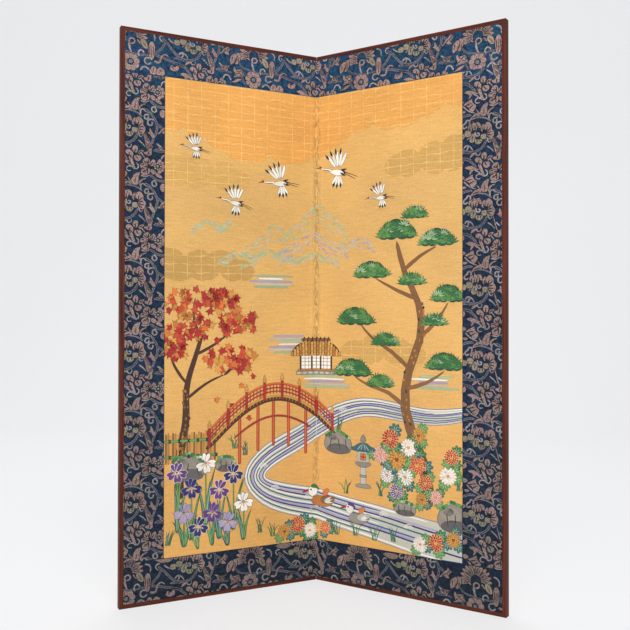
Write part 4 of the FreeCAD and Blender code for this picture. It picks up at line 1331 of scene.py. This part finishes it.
def maple(draw):
    """Draw the maple: a forked trunk under a crown of leaves in five reds and golds."""
    drawn = patch(ribbon(STEM, 11, 4), "umber", "ink", rim=0.36) + bark_scales(STEM[:4], 9, draw)
    for bough in MAPLE_BOUGHS:
        drawn += patch(ribbon(bough, 4.2, 1.4), "umber", "ink", 1, 0.28)
    for leaf in range(LEAF_COUNT):
        turn, reach = draw.uniform(0, 360), math.sqrt(draw.random())
        centre_x, centre_z, wide, high = draw.choice(CLUSTERS)
        spot = (centre_x + math.sin(math.radians(turn)) * reach * wide,
                centre_z + math.cos(math.radians(turn)) * reach * high)
        thread = draw.choice(("red", "red", "vermilion", "vermilion", "orange", "gold", "amber"))
        edge = "umber" if thread in ("red", "vermilion") else "red"
        drawn += placed(patch(maple_leaf(draw.uniform(5.0, 6.6)), thread, edge, 2 + leaf % 4, 0.24),
                        spot, draw.uniform(-150, 150))
    for spot in FALLING_LEAVES:
        thread = draw.choice(("red", "vermilion", "orange"))
        drawn += placed(patch(maple_leaf(4.4), thread, "umber", 0, 0.26), spot, draw.uniform(-150, 150))
    return drawn


weave_on_picture("maple", maple(random.Random(8)), 0.06, garden_finish)

# %% [markdown]
# ## The stream
# The stream is a lavender grey band with running lines of blue and white floats, and rings where the
# water turns. Straight timbers are bars, whose doubled corners keep them square through the smoothing.

# %% Stream
CURRENTS = 13
FIRST_WIDTH, LAST_WIDTH = 12.5, 41


def bar(left, low, right, high, corner=0.35):
    """Give a bar's outline, with each corner doubled."""
    return [(left + corner, low), (right - corner, low), (right, low + corner), (right, high - corner),
            (right - corner, high), (left + corner, high), (left, high - corner), (left, low + corner)]


def stream(draw):
    """Draw the running water: a wide band, its banks and its lines of current."""
    course = [(192, 204), (150, 194), (104, 200), (62, 206), (20, 190), (-18, 166), (-58, 150), (-84, 126),
              (-62, 104), (-20, 92), (30, 82), (84, 76), (140, 66), (196, 60)]
    water = patch(ribbon(course, 15, 44), "haze", "blue", rim=0.5)
    spots = [Vector(spot) for spot in course]
    for line in range(CURRENTS):
        place = (line + 0.5) / CURRENTS - 0.5 + draw.uniform(-0.02, 0.02)
        path = []
        for step, spot in enumerate(spots):
            along = direction_at(spots, step)
            wide = FIRST_WIDTH + (LAST_WIDTH - FIRST_WIDTH) * step / (len(spots) - 1)
            ripple = 0.9 * math.sin(step * 2.4 + line)
            path.append(tuple(spot + Vector((along.y, -along.x)) * (place * wide + ripple)))
        start = draw.choice((0, 0, 1, 2, 3))
        end = len(path) - draw.choice((0, 0, 1, 2))
        thread = ("white", "blue", "lavender", "indigo", "white", "teal")[line % 6]
        water += patch(ribbon(path[start:end], 0.9, 1.9), thread, layer=1, rim=0.2)
    for across, up in ((66, 78), (-52, 108), (-10, 94), (118, 74), (-66, 134), (36, 196), (4, 84), (88, 84)):
        for ring in range(3):
            curve = arc((across, up), 2.2 + ring * 1.7, -80, 80, 5)
            water += patch(ribbon(curve, 0.8, 0.6), "white", layer=2, rim=0.14)
    return water


bank_draw = random.Random(21)
banks = stream(bank_draw)
print("the stream has", len(banks), "patches")

# %% [markdown]
# ## The bridge
# The bridge stands on piles in the stream. Its deck and its rails are ribbons along the same arch, one
# above the other, and its balusters and capped posts follow that arch.

# %% Bridge
def deck(place, lift=0.0):
    """Give a point over the bridge's arch, from 0 at its left end to 1 at its right end."""
    return (-132 + 156 * place, 164 + 12 * place + 46 * math.sin(math.pi * place) + lift)


def arch(lift, start=0.0, end=1.0):
    """Give the arch's line at a height above the deck."""
    return [deck(start + (end - start) * step / 8, lift) for step in range(9)]


def bridge():
    """Draw the arched bridge: piles, deck, balusters, rails and capped posts."""
    red = {"edge": "ink", "rim": 0.3}
    span = []
    for place in (0.24, 0.38, 0.5, 0.62, 0.76):
        x, top = deck(place)
        span += patch(bar(x - 1.9, top - 58, x + 1.9, top - 3), "vermilion", layer=0, **red)
        span += patch(bar(x - 0.6, top - 56, x + 0.2, top - 5), "orange", layer=1, rim=0.1)
    span += patch(ribbon(arch(-24, 0.2, 0.8), 2.4), "red", layer=1, **red)
    span += patch(ribbon(arch(-3.4), 6.4), "umber", "ink", 1, 0.3)
    span += patch(ribbon(arch(-1.0), 2.6), "gold", "umber", 2, 0.3)
    for step in range(39):
        x, top = deck((step + 0.5) / 39)
        span += patch(bar(x - 0.5, top - 5.6, x + 0.4, top - 2.6, 0.1), "amber", layer=2, rim=0.08)
        span += patch(bar(x - 0.62, top + 0.6, x + 0.62, top + 12.4, 0.2), "vermilion", "umber", 2, 0.18)
    for lift, wide, thread in ((4.4, 1.5, "red"), (8.4, 1.5, "red"), (13.0, 2.8, "vermilion")):
        span += patch(ribbon(arch(lift), wide), thread, layer=3, edge="ink", rim=0.24)
    span += patch(ribbon(arch(13.6), 0.8), "orange", layer=4, rim=0.12)
    cap = symmetric(((0, 0), (0.56, 0.1), (0.5, 0.5), (0.2, 0.72), (0.04, 1.1), (0, 1.14)), 6.6, 4.4)
    for step in range(8):
        x, top = deck(0.015 + step * 0.97 / 7)
        span += patch(bar(x - 1.7, top - 5, x + 1.7, top + 17), "red", layer=4, **red)
        span += patch(bar(x - 2.2, top + 15.4, x + 2.2, top + 17.8), "gold", "ink", 5, 0.24)
        span += placed(patch(cap, "gold", "umber", 5, 0.26), (x, top + 17.2))
    return span


bridge_patches = bridge()
print("the bridge has", len(bridge_patches), "patches")

# %% [markdown]
# ## Rocks, fence and lantern
# A rock is one outline, drawn again smaller for its lit face and its shaded foot, with moss along its
# top. The fence and the lantern are built up from bars, as a carpenter and a mason would build them.

# %% Rocks, fence and lantern
ROCK_FACES = ((0.84, 0.44, 0.02, -0.24, "slate"), (0.62, 0.5, -0.1, 0.08, "stone"),
              (0.34, 0.3, -0.16, 0.16, "haze"))


def upper_edge(outline, across):
    """Give the height of an outline's upper edge over a place."""
    return max(z + (next_z - z) * (across - x) / (next_x - x)
               for (x, z), (next_x, next_z) in zip(outline, outline[1:] + outline[:1])
               if min(x, next_x) <= across < max(x, next_x))


def rock(outline, draw):
    """Draw a rock with a lit face, a shaded foot, cracks and moss on its top."""
    left, right = min(spot[0] for spot in outline), max(spot[0] for spot in outline)
    low, high = min(spot[1] for spot in outline), max(spot[1] for spot in outline)
    wide, tall, across, up = right - left, high - low, (left + right) / 2, (low + high) / 2
    stone = patch(outline, "stone", "ink", rim=0.5)
    for share_x, share_z, off_x, off_z, thread in ROCK_FACES:
        face = [(across + (x - across) * share_x + off_x * wide, up + (z - up) * share_z + off_z * tall)
                for x, z in outline]
        stone += patch(face, thread, layer=1, rim=0.5)
    for share in (0.3, 0.52, 0.74):
        x = left + wide * share
        crack = [(x, up + tall * 0.1), (x + draw.uniform(-2, 2), up - tall * 0.1),
                 (x + draw.uniform(-3, 3), up - tall * 0.3)]
        stone += patch(ribbon(crack, 1.2, 0.5), "ink", layer=2, rim=0.14)
    for step in range(round(wide * 0.8 / 3.0)):
        x = left + wide * 0.1 + step * 3.0 + 1.5
        thread = draw.choice(("leaf", "green", "pale_green"))
        moss = patch(symmetric(ROUND_SHARES, 3.6, 3.6), thread, "deep_green", 3 + step % 2, 0.22)
        stone += placed(moss, (x, upper_edge(outline, x) - draw.uniform(3.6, 5.0)))
    return stone


def fence():
    """Draw a low brushwood fence with two bamboo rails."""
    hurdle = []
    for step in range(22):
        x = -178 + step * 2.6
        hurdle += patch(bar(x - 1.05, 146, x + 1.05, 178 + 1.6 * math.sin(step * 2.3), 0.3),
                        ("bark", "amber", "gold")[step % 3], "umber", step % 2, 0.24)
    for up in (153, 170):
        hurdle += patch(bar(-180, up - 1.5, -120, up + 1.5), "leaf", "deep_green", 2, 0.26)
        for step in range(6):
            x = -174 + step * 10.4
            for layer, turn in ((3, 30), (4, -30)):
                tie = patch(bar(-0.7, -2.4, 0.7, 2.4, 0.2), "ink", layer=layer, rim=0.1)
                hurdle += placed(tie, (x, up), turn)
    return hurdle


def lantern():
    """Draw a stone garden lantern, from its foot to its jewel."""
    grey = {"edge": "ink", "rim": 0.32}
    stack = patch([(-11, 0), (11, 0), (10, 3), (6.5, 5.5), (-6.5, 5.5), (-10, 3)], "stone", **grey)
    stack += patch(bar(-3.6, 4.6, 3.6, 24), "haze", layer=1, **grey)
    stack += patch(bar(-4.6, 12, 4.6, 15), "stone", layer=2, **grey)
    stack += patch([(-5, 23), (5, 23), (10.5, 27), (11, 29.5), (-11, 29.5), (-10.5, 27)],
                   "stone", layer=2, **grey)
    stack += patch(bar(-8, 29, 8, 41), "haze", layer=1, **grey)
    stack += patch(bar(-3.8, 31, 3.8, 39), "orange", "ink", 2, 0.3)
    stack += patch(bar(-0.4, 31.4, 0.4, 38.6, 0.1), "ink", layer=3, rim=0.08)
    stack += patch(bar(-3.4, 34.6, 3.4, 35.4, 0.1), "ink", layer=4, rim=0.08)
    stack += patch([(-9, 40.6), (9, 40.6), (15.5, 41.6), (16.5, 45.6), (12.6, 45.2), (4.6, 51.4),
                    (-4.6, 51.4), (-12.6, 45.2), (-16.5, 45.6), (-15.5, 41.6)], "teal", layer=3, **grey)
    for across, turn in ((-7.6, 38), (-2.8, 14), (2.8, -14), (7.6, -38)):
        rib = patch(symmetric(LEAF_SHARES, 8.6, 1.0), "haze", layer=4, rim=0.12)
        stack += placed(rib, (across, 42), turn)
    jewel = ((0, 0), (0.6, 0.16), (0.5, 0.6), (0.06, 1.1), (0, 1.12))
    return stack + placed(patch(symmetric(jewel, 8.4, 7.0), "stone", layer=4, **grey), (0, 51))


banks += fence()
print("with the fence the banks have", len(banks), "patches")

# %% [markdown]
# ## Tea house and level mist
# The tea house has a thatched roof over paper doors. Bars of mist in pale stripes lie beside it and at
# the foot of the hills, some longer and some shorter. With them the banks and the bridge are woven.

# %% Tea house, level mist and the banks
MISTS = ((-60, -4, 262, 7), (-22, 44, 222, 6), (-84, -30, 336, 5), (118, 176, 226, 5))
ROCKS = (
    ((-176, 128), (-150, 124), (-132, 130), (-136, 148), (-152, 160), (-170, 152)),
    ((-126, 134), (-104, 132), (-96, 140), (-104, 152), (-120, 152)),
    ((8, 150), (34, 146), (50, 152), (46, 168), (28, 178), (12, 170)),
    ((150, 80), (176, 74), (192, 84), (190, 104), (168, 112), (152, 100)),
    ((96, 92), (116, 86), (130, 92), (124, 104), (104, 106)),
)


def tea_house():
    """Draw a small thatched tea house on its stone base, with paper doors and a veranda."""
    dark = {"edge": "ink", "rim": 0.3}
    house = patch(bar(-27, -3, 27, 1.6), "stone", "ink", 0, 0.3)
    for step in range(7):
        house += patch(bar(-26 + step * 7.6, -2.4, -20 + step * 7.6, 1, 0.8), "haze", "stone", 1, 0.3)
    house += patch(bar(-25, 1.4, 25, 4), "amber", layer=2, **dark)
    house += patch(bar(-21, 4, 21, 21), "white", "stone", 0, 0.3)
    for step in range(9):
        x = -20 + step * 5
        house += patch(bar(x - 0.35, 4, x + 0.35, 21, 0.1), "bark", layer=1, rim=0.1)
    for up in (8.4, 12.6, 16.8):
        house += patch(bar(-21, up - 0.3, 21, up + 0.3, 0.1), "bark", layer=2, rim=0.1)
    for x in (-21, -6, 6, 21):
        house += patch(bar(x - 1.1, 3, x + 1.1, 23), "umber", layer=3, **dark)
    house += patch([(-36, 19), (-30, 20), (30, 20), (36, 19), (30, 30), (19, 38), (-19, 38), (-30, 30)],
                   "umber", layer=3, **dark)
    for row in range(5):
        reach = 34 - row * 3.6
        count = round(reach / 1.9)
        for step in range(count):
            x = -reach + (step + 0.5) * reach * 2 / count
            thatch = patch(symmetric(PETAL_SHARES, 5.8, 3.6), ("amber", "khaki", "gold")[(step + row) % 3],
                           "umber", 4 + step % 2, 0.24)
            house += placed(thatch, (x, 25.4 + row * 3.2), 180)
    house += patch(bar(-20, 37.4, 20, 41, 0.8), "bark", layer=4, **dark)
    for step in range(7):
        tie = patch(bar(-0.9, -3.2, 0.9, 3.2, 0.4), "umber", "ink", 6, 0.2)
        house += placed(tie, (-16.5 + step * 5.5, 39.4), 14)
    return house


def level_mist(left, right, low, rows, draw):
    """Draw level mist as stepped bars in pale stripes."""
    mist_bars = []
    for row in range(rows):
        ends = [draw.choice((0, 6, 12)) for _ in range(2)]
        mist_bars += patch(bar(left + ends[0], low + row * 3.1, right - ends[1], low + row * 3.1 + 2.5, 0.7),
                           ("pale_green", "haze", "lavender", "white")[row % 4], "stone", row % 2, 0.24)
    return mist_bars


for left, right, low, rows in MISTS:
    banks += level_mist(left, right, low, rows, bank_draw)
banks += placed(tea_house(), (0, 240), size=0.96, layer=2)
for outline in ROCKS:
    banks += placed(rock(outline, bank_draw), layer=2)
banks += placed(lantern(), (62, 112), layer=2)
weave_on_picture("banks", banks, 0.03, garden_finish)
weave_on_picture("bridge", bridge_patches, 0.12, garden_finish)

# %% [markdown]
# ## Irises
# The foreground carries the strongest colours. An iris has three petals that stand and three that
# hang, each with a gold tongue, over long blades with a light rib.

# %% Irises
def blade(path, width, thread, layer):
    """Draw a long leaf with a light rib."""
    return (patch(ribbon(path, width, 0.7), thread, "deep_green", layer, 0.26)
            + patch(ribbon(path[:-1], 0.6, 0.4), "pale_green", layer=layer + 1, rim=0.1))


def iris(height, petal_thread, edge_thread, draw):
    """Draw an iris with its blades, from the ground up."""
    plant = []
    for _ in range(5):
        lean, reach = draw.uniform(-16, 16), height * draw.uniform(0.62, 1.02)
        path = [(lean * 0.1, 0), (lean * 0.25, reach * 0.4), (lean * 0.6, reach * 0.75), (lean, reach)]
        width, thread = draw.uniform(3.2, 4.4), draw.choice(("green", "leaf", "green", "teal"))
        plant += blade(path, width, thread, draw.choice((0, 1)))
    plant += patch(ribbon([(0, 0), (0.6, height * 0.5), (0, height)], 1.7), "leaf", "deep_green", 2, 0.26)
    look = {"edge": edge_thread, "rim": 0.34}
    bloom = ring_of(symmetric(PETAL_SHARES, 9.6, 5.0), (-34, 0, 34), 0.4, petal_thread, layer=0, **look)
    bloom += ring_of(symmetric(NOTCHED_SHARES, 10.5, 8.2), (-112, 112, 180), 0.6, petal_thread,
                     layer=3, **look)
    bloom += ring_of(symmetric(LEAF_SHARES, 5.4, 1.9), (-112, 112, 180), 1.2, "gold",
                     layer=6, edge="white", rim=0.2)
    return plant + placed(bloom, (0, height + 1), draw.uniform(-12, 12), layer=1)


flower_draw = random.Random(33)
flowers = []
IRISES = (
    (-166, 74, 62, "purple", "white"), (-150, 64, 54, "indigo", "lavender"),
    (-134, 78, 66, "white", "purple"), (-118, 62, 52, "purple", "white"),
    (-102, 70, 60, "indigo", "white"), (-158, 58, 34, "lavender", "purple"),
    (-126, 56, 34, "purple", "lavender"), (-90, 58, 40, "white", "indigo"),
    (-142, 54, 22, "indigo", "white"), (-108, 54, 24, "lavender", "indigo"),
)
for across, up, height, thread, edge in IRISES:
    flowers += placed(iris(height, thread, edge, flower_draw), (across, up))
print("the irises have", len(flowers), "patches")

# %% [markdown]
# ## Chrysanthemums
# A chrysanthemum is three rings of narrow petals, one over the other, round a small heart. All leaves
# are drawn before the first flower, so that no leaf hides a flower that grows beside it.

# %% Chrysanthemums
def chrysanthemum(size, thread, edge):
    """Draw a chrysanthemum from the front."""
    look = {"edge": edge, "rim": 0.26}
    bloom = []
    for count, reach, length, layer in ((16, 0.42, 0.62, 0), (14, 0.2, 0.56, 2), (9, 0.04, 0.42, 4)):
        turns = [360 / count * (step + layer / 4) for step in range(count)]
        bloom += ring_of(symmetric(PETAL_SHARES, size * length, size * 0.3), turns, size * reach, thread,
                         layer=layer, **look)
    heart = "red" if thread == "gold" else "gold"
    middle = patch(symmetric(ROUND_SHARES, size * 0.4, size * 0.4), heart, edge, 7, 0.2)
    return bloom + placed(middle, (0, -size * 0.2))


def lobed_leaf(size, thread):
    """Draw a chrysanthemum's leaf of five blunt lobes with its veins."""
    leaf = ring_of(symmetric(PETAL_SHARES, size, size * 0.56), (-96, -48, 48, 96, 0), size * 0.06, thread,
                   edge="deep_green", rim=0.24)
    return leaf + ring_of(symmetric(LEAF_SHARES, size * 0.7, 0.8), (-96, -48, 0, 48, 96), size * 0.1,
                          "pale_green", layer=3, rim=0.1)


CHRYSANTHEMUMS = (
    (96, 170, 10, "red", "pale_gold"), (118, 162, 9, "white", "blush"), (104, 148, 11, "gold", "umber"),
    (84, 152, 9, "blush", "red"), (128, 144, 10, "vermilion", "pale_gold"), (114, 130, 9, "white", "stone"),
    (138, 126, 8, "red", "pale_gold"), (92, 130, 8, "white", "purple"), (130, 176, 8, "gold", "umber"),
    (104, 114, 8, "purple", "white"), (164, 136, 9, "white", "blush"), (168, 156, 8, "red", "pale_gold"),
    (134, 108, 7, "gold", "umber"), (150, 112, 7, "blush", "red"), (150, 64, 9, "red", "pale_gold"),
    (170, 70, 8, "gold", "umber"), (132, 60, 8, "white", "blush"), (-24, 66, 9, "red", "pale_gold"),
    (-8, 58, 8, "white", "blush"), (-40, 60, 8, "gold", "umber"), (12, 62, 7, "vermilion", "pale_gold"),
)
for across, up, size, thread, edge in CHRYSANTHEMUMS:
    for turn in [flower_draw.uniform(*span) for span in ((90, 160), (190, 270), (10, 60))]:
        off = heading(turn, size * 1.1)
        flowers += placed(lobed_leaf(size * 0.74, flower_draw.choice(("green", "leaf", "teal"))),
                          (across + off[0], up + off[1]), turn)
for across, up, size, thread, edge in CHRYSANTHEMUMS:
    flowers += placed(chrysanthemum(size, thread, edge), (across, up), layer=1)
print("with the chrysanthemums the foreground has", len(flowers), "patches")

# %% [markdown]
# ## Ducks and grass
# Two ducks swim on the stream, each with an upright orange sail feather. Small tufts of grass fill the
# bare places of the banks, and with them the whole foreground is woven as one relief.

# %% Ducks, grass and the foreground's weaving
def duck(breast, crest, wing):
    """Draw a duck that swims to the left."""
    look = {"edge": "ink", "rim": 0.26}
    bird = patch([(-9, 1), (-6, -2.6), (2, -3.8), (9, -2.2), (13.5, 3.4), (9, 4.0), (2, 5.2), (-5, 5.4)],
                 breast, **look)
    bird += patch([(-1, 1), (4, -1.6), (10, 1.0), (14.5, 5.8), (8, 6.0), (1, 5.0)], wing, layer=1, **look)
    bird += patch([(2, 4.4), (6, 5.6), (8.6, 11.0), (4.2, 11.4), (1.4, 8.4)], "orange", layer=2, **look)
    bird += ring_of(symmetric(LEAF_SHARES, 8.0, 2.0), (58, 72, 86), 1.0, "white", (2, 0.4),
                    layer=2, edge="indigo", rim=0.2)
    bird += patch([(-11.4, 7), (-7.4, 3.6), (-3.8, 5.4), (-2.6, 10), (-5.4, 13.2), (-9.8, 12.6)],
                  "white", layer=2, **look)
    bird += patch([(-9.8, 11.2), (-5.6, 11.0), (-0.4, 8.2), (-2.6, 12.4), (-6.6, 14.6)], crest,
                  layer=3, **look)
    bird += patch(ribbon([(-11, 9.4), (-13.4, 8.6), (-15.4, 8.4)], 1.9, 1.1), "red", "ink", 3, 0.2)
    return bird + placed(patch(symmetric(ROUND_SHARES, 1.3, 1.3), "ink", layer=4, rim=0.1), (-8.4, 9.0))


def grass(draw):
    """Draw a small tuft of grass."""
    height = 16
    tuft = []
    for step in range(6):
        foot, lean = step - 2.5, draw.uniform(-9, 9)
        path = [(foot, 0), (foot + lean * 0.4, height * 0.6),
                (foot + lean, height * draw.uniform(0.7, 1.1))]
        tuft += patch(ribbon(path, 1.3, 0.5), draw.choice(("green", "leaf", "teal")), "deep_green",
                      step % 2, 0.16)
    return tuft


for spot in ((-70, 62), (-54, 56), (28, 56), (52, 58), (76, 56), (100, 58), (-176, 60), (40, 104), (84, 106),
             (-88, 150), (30, 176), (176, 122), (-100, 158)):
    flowers += placed(grass(flower_draw), spot)
flowers += placed(duck("amber", "green", "bark"), (6, 90), size=1.5, layer=1)
flowers += placed(duck("stone", "purple", "haze"), (54, 76), size=1.35, layer=1)
weave_on_picture("flowers", flowers, 0.12, garden_finish, rounds=1)

# %% [markdown]
# ## Hinge tape
# Under the picture one tape of cloth and paper is pasted to both panels and bends at the fold. It is
# what holds the two panels together. The picture, the bands and the edging cover it on the front.

# %% Tape over the fold
tape_finish, tree, shader = new_finish("hinge_tape_cloth", 0.9)
tone = blend_colours(tree, flat_noise(tree, 400.0), colour(214, 204, 182), colour(232, 224, 206))
tree.links.new(tone, shader.inputs["Base Color"])
ribs(tree, shader, 0.05 * MM)
tape_limits = (-tape_high.x, tape_high.x, tape_low.z, tape_high.z)
tape = ground_cloth("hinge_tape", tape_limits, tape_low.y, tape_high.y - tape_low.y, tape_finish)
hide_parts("left_hinge_tape", "right_hinge_tape")

# %% [markdown]
# ## Wood, paper and steel
# The frame's own pieces keep their shape and get a finish by where they are. The edging is a thin
# hardwood strip, stained reddish brown and waxed. The core is plain cedar. Papers are handmade, with
# long fibres. The grain is a noise stretched along each piece's length.

# %% Finishes of the construction
UPRIGHT, LEVEL = (1, 1, 0.03), (0.03, 1, 1)


def wood_finish(name, dark, light, grain_way, turn, roughness, bump_depth, **values):
    """Make stained wood with its grain along the piece, in a panel's frame or straight up."""
    finish, tree, shader = new_finish(name, roughness, **values)
    place = node(tree, "ShaderNodeTexCoord").outputs["Object"]
    turned = node(tree, "ShaderNodeMapping", {"Vector": place, "Rotation": (0, 0, turn)}).outputs["Vector"]
    drawn_out = node(tree, "ShaderNodeMapping", {"Vector": turned, "Scale": grain_way}).outputs["Vector"]
    grain = noise(tree, drawn_out, 420.0, 5.0, 0.6)
    pores = noise(tree, drawn_out, 2400.0, 2.0, 0.5)
    tone = blend_colours(tree, spread(tree, grain, 0.3, 0.7), colour(*dark), colour(*light))
    shade = spread(tree, pores, 0.3, 0.6, 0.78, 1.05)
    tree.links.new(multiplied(tree, tone, shade), shader.inputs["Base Color"])
    bump = node(tree, "ShaderNodeBump", {"Height": pores, "Distance": bump_depth, "Strength": 0.5})
    tree.links.new(bump.outputs["Normal"], shader.inputs["Normal"])
    return finish


def paper_finish(name, dark, light, fibre_shade):
    """Make handmade paper: soft mottling with long fibres in it."""
    finish, tree, shader = new_finish(name, 0.92, Specular_IOR_Level=0.25)
    place = node(tree, "ShaderNodeTexCoord").outputs["Object"]
    mottle = noise(tree, place, 55.0, 4.0)
    tone = blend_colours(tree, spread(tree, mottle, 0.3, 0.7), colour(*dark), colour(*light))
    bent = node(tree, "ShaderNodeTexNoise", {"Vector": place, "Scale": 38.0, "Detail": 1.0}).outputs["Color"]
    curved = node(tree, "ShaderNodeVectorMath", {0: place, 1: bent}, operation="ADD").outputs["Vector"]
    strands = node(tree, "ShaderNodeTexVoronoi", {"Vector": curved, "Scale": 42.0},
                   feature="DISTANCE_TO_EDGE").outputs["Distance"]
    fibre = spread(tree, strands, 0.0, 0.022, fibre_shade, 1.0)
    tree.links.new(multiplied(tree, tone, fibre), shader.inputs["Base Color"])
    bump = node(tree, "ShaderNodeBump", {"Height": noise(tree, place, 900.0, 3.0), "Distance": 0.08 * MM})
    tree.links.new(bump.outputs["Normal"], shader.inputs["Normal"])
    return finish


print("grain is drawn out", round(1 / UPRIGHT[2]), "times along the wood")

# %% [markdown]
# ## Dressing the construction
# A level piece has its grain along its panel, so each panel's level woods are turned by the panel's
# lean. Upright woods need no turn, and both panels share them, as they share the papers and the steel.

# %% Dress the nodes
def finish_nodes(endings, finish, start=""):
    """Give every node whose name ends in one of the words a finish."""
    dressed = [piece for name, piece in frame["nodes"].items()
               if name.endswith(endings) and name.startswith(start)]
    for piece in dressed:
        for place in piece.material_slots:
            place.material = finish
    return len(dressed)


RED_BROWN = {"dark": (66, 31, 22), "light": (109, 54, 40), "roughness": 0.5, "bump_depth": 0.06 * MM,
             "Specular_IOR_Level": 0.08}
CEDAR = {"dark": (196, 160, 112), "light": (222, 190, 146), "roughness": 0.7, "bump_depth": 0.1 * MM}
count = 0
for start, turn in (("left", -LEAN), ("right", LEAN)):
    edging = wood_finish(f"{start}_edging_wood", grain_way=LEVEL, turn=turn, **RED_BROWN)
    cedar = wood_finish(f"{start}_cedar_across", grain_way=LEVEL, turn=turn, **CEDAR)
    count += finish_nodes(("top_edging", "bottom_edging"), edging, start)
    count += finish_nodes(("rail", "cross_slats"), cedar, start)
upright_edging = wood_finish("upright_edging_wood", grain_way=UPRIGHT, turn=0.0, **RED_BROWN)
upright_cedar = wood_finish("upright_cedar", grain_way=UPRIGHT, turn=0.0, **CEDAR)
count += finish_nodes(("outer_edging",), upright_edging)
count += finish_nodes(("stile", "upright_slats"), upright_cedar)
back_finish = paper_finish("back_paper", (222, 214, 197), (228, 221, 205), 0.9)
lining_finish = paper_finish("lining_paper", (206, 196, 172), (222, 212, 190), 0.9)
count += finish_nodes(("back_paper",), back_finish)
count += finish_nodes(("lining", "edge_paper"), lining_finish)

steel, tree, shader = new_finish("pin_steel", 0.34, Metallic=1.0)
wear = noise(tree, node(tree, "ShaderNodeTexCoord").outputs["Object"], 1800.0, 3.0)
sheen = blend_colours(tree, wear, colour(120, 116, 110), colour(178, 176, 172))
tree.links.new(sheen, shader.inputs["Base Color"])
count += finish_nodes(("pins",), steel)
print("finished", count, "of", len(frame["nodes"]), "nodes")

# %% [markdown]
# ## The strips' limits
# Each strip's limits are read once more, and the cloths are counted.

for name, strip in strips.items():
    left, right, low, high = STRIPS[name]
print("declared", len(strips) + 2, "sheets")
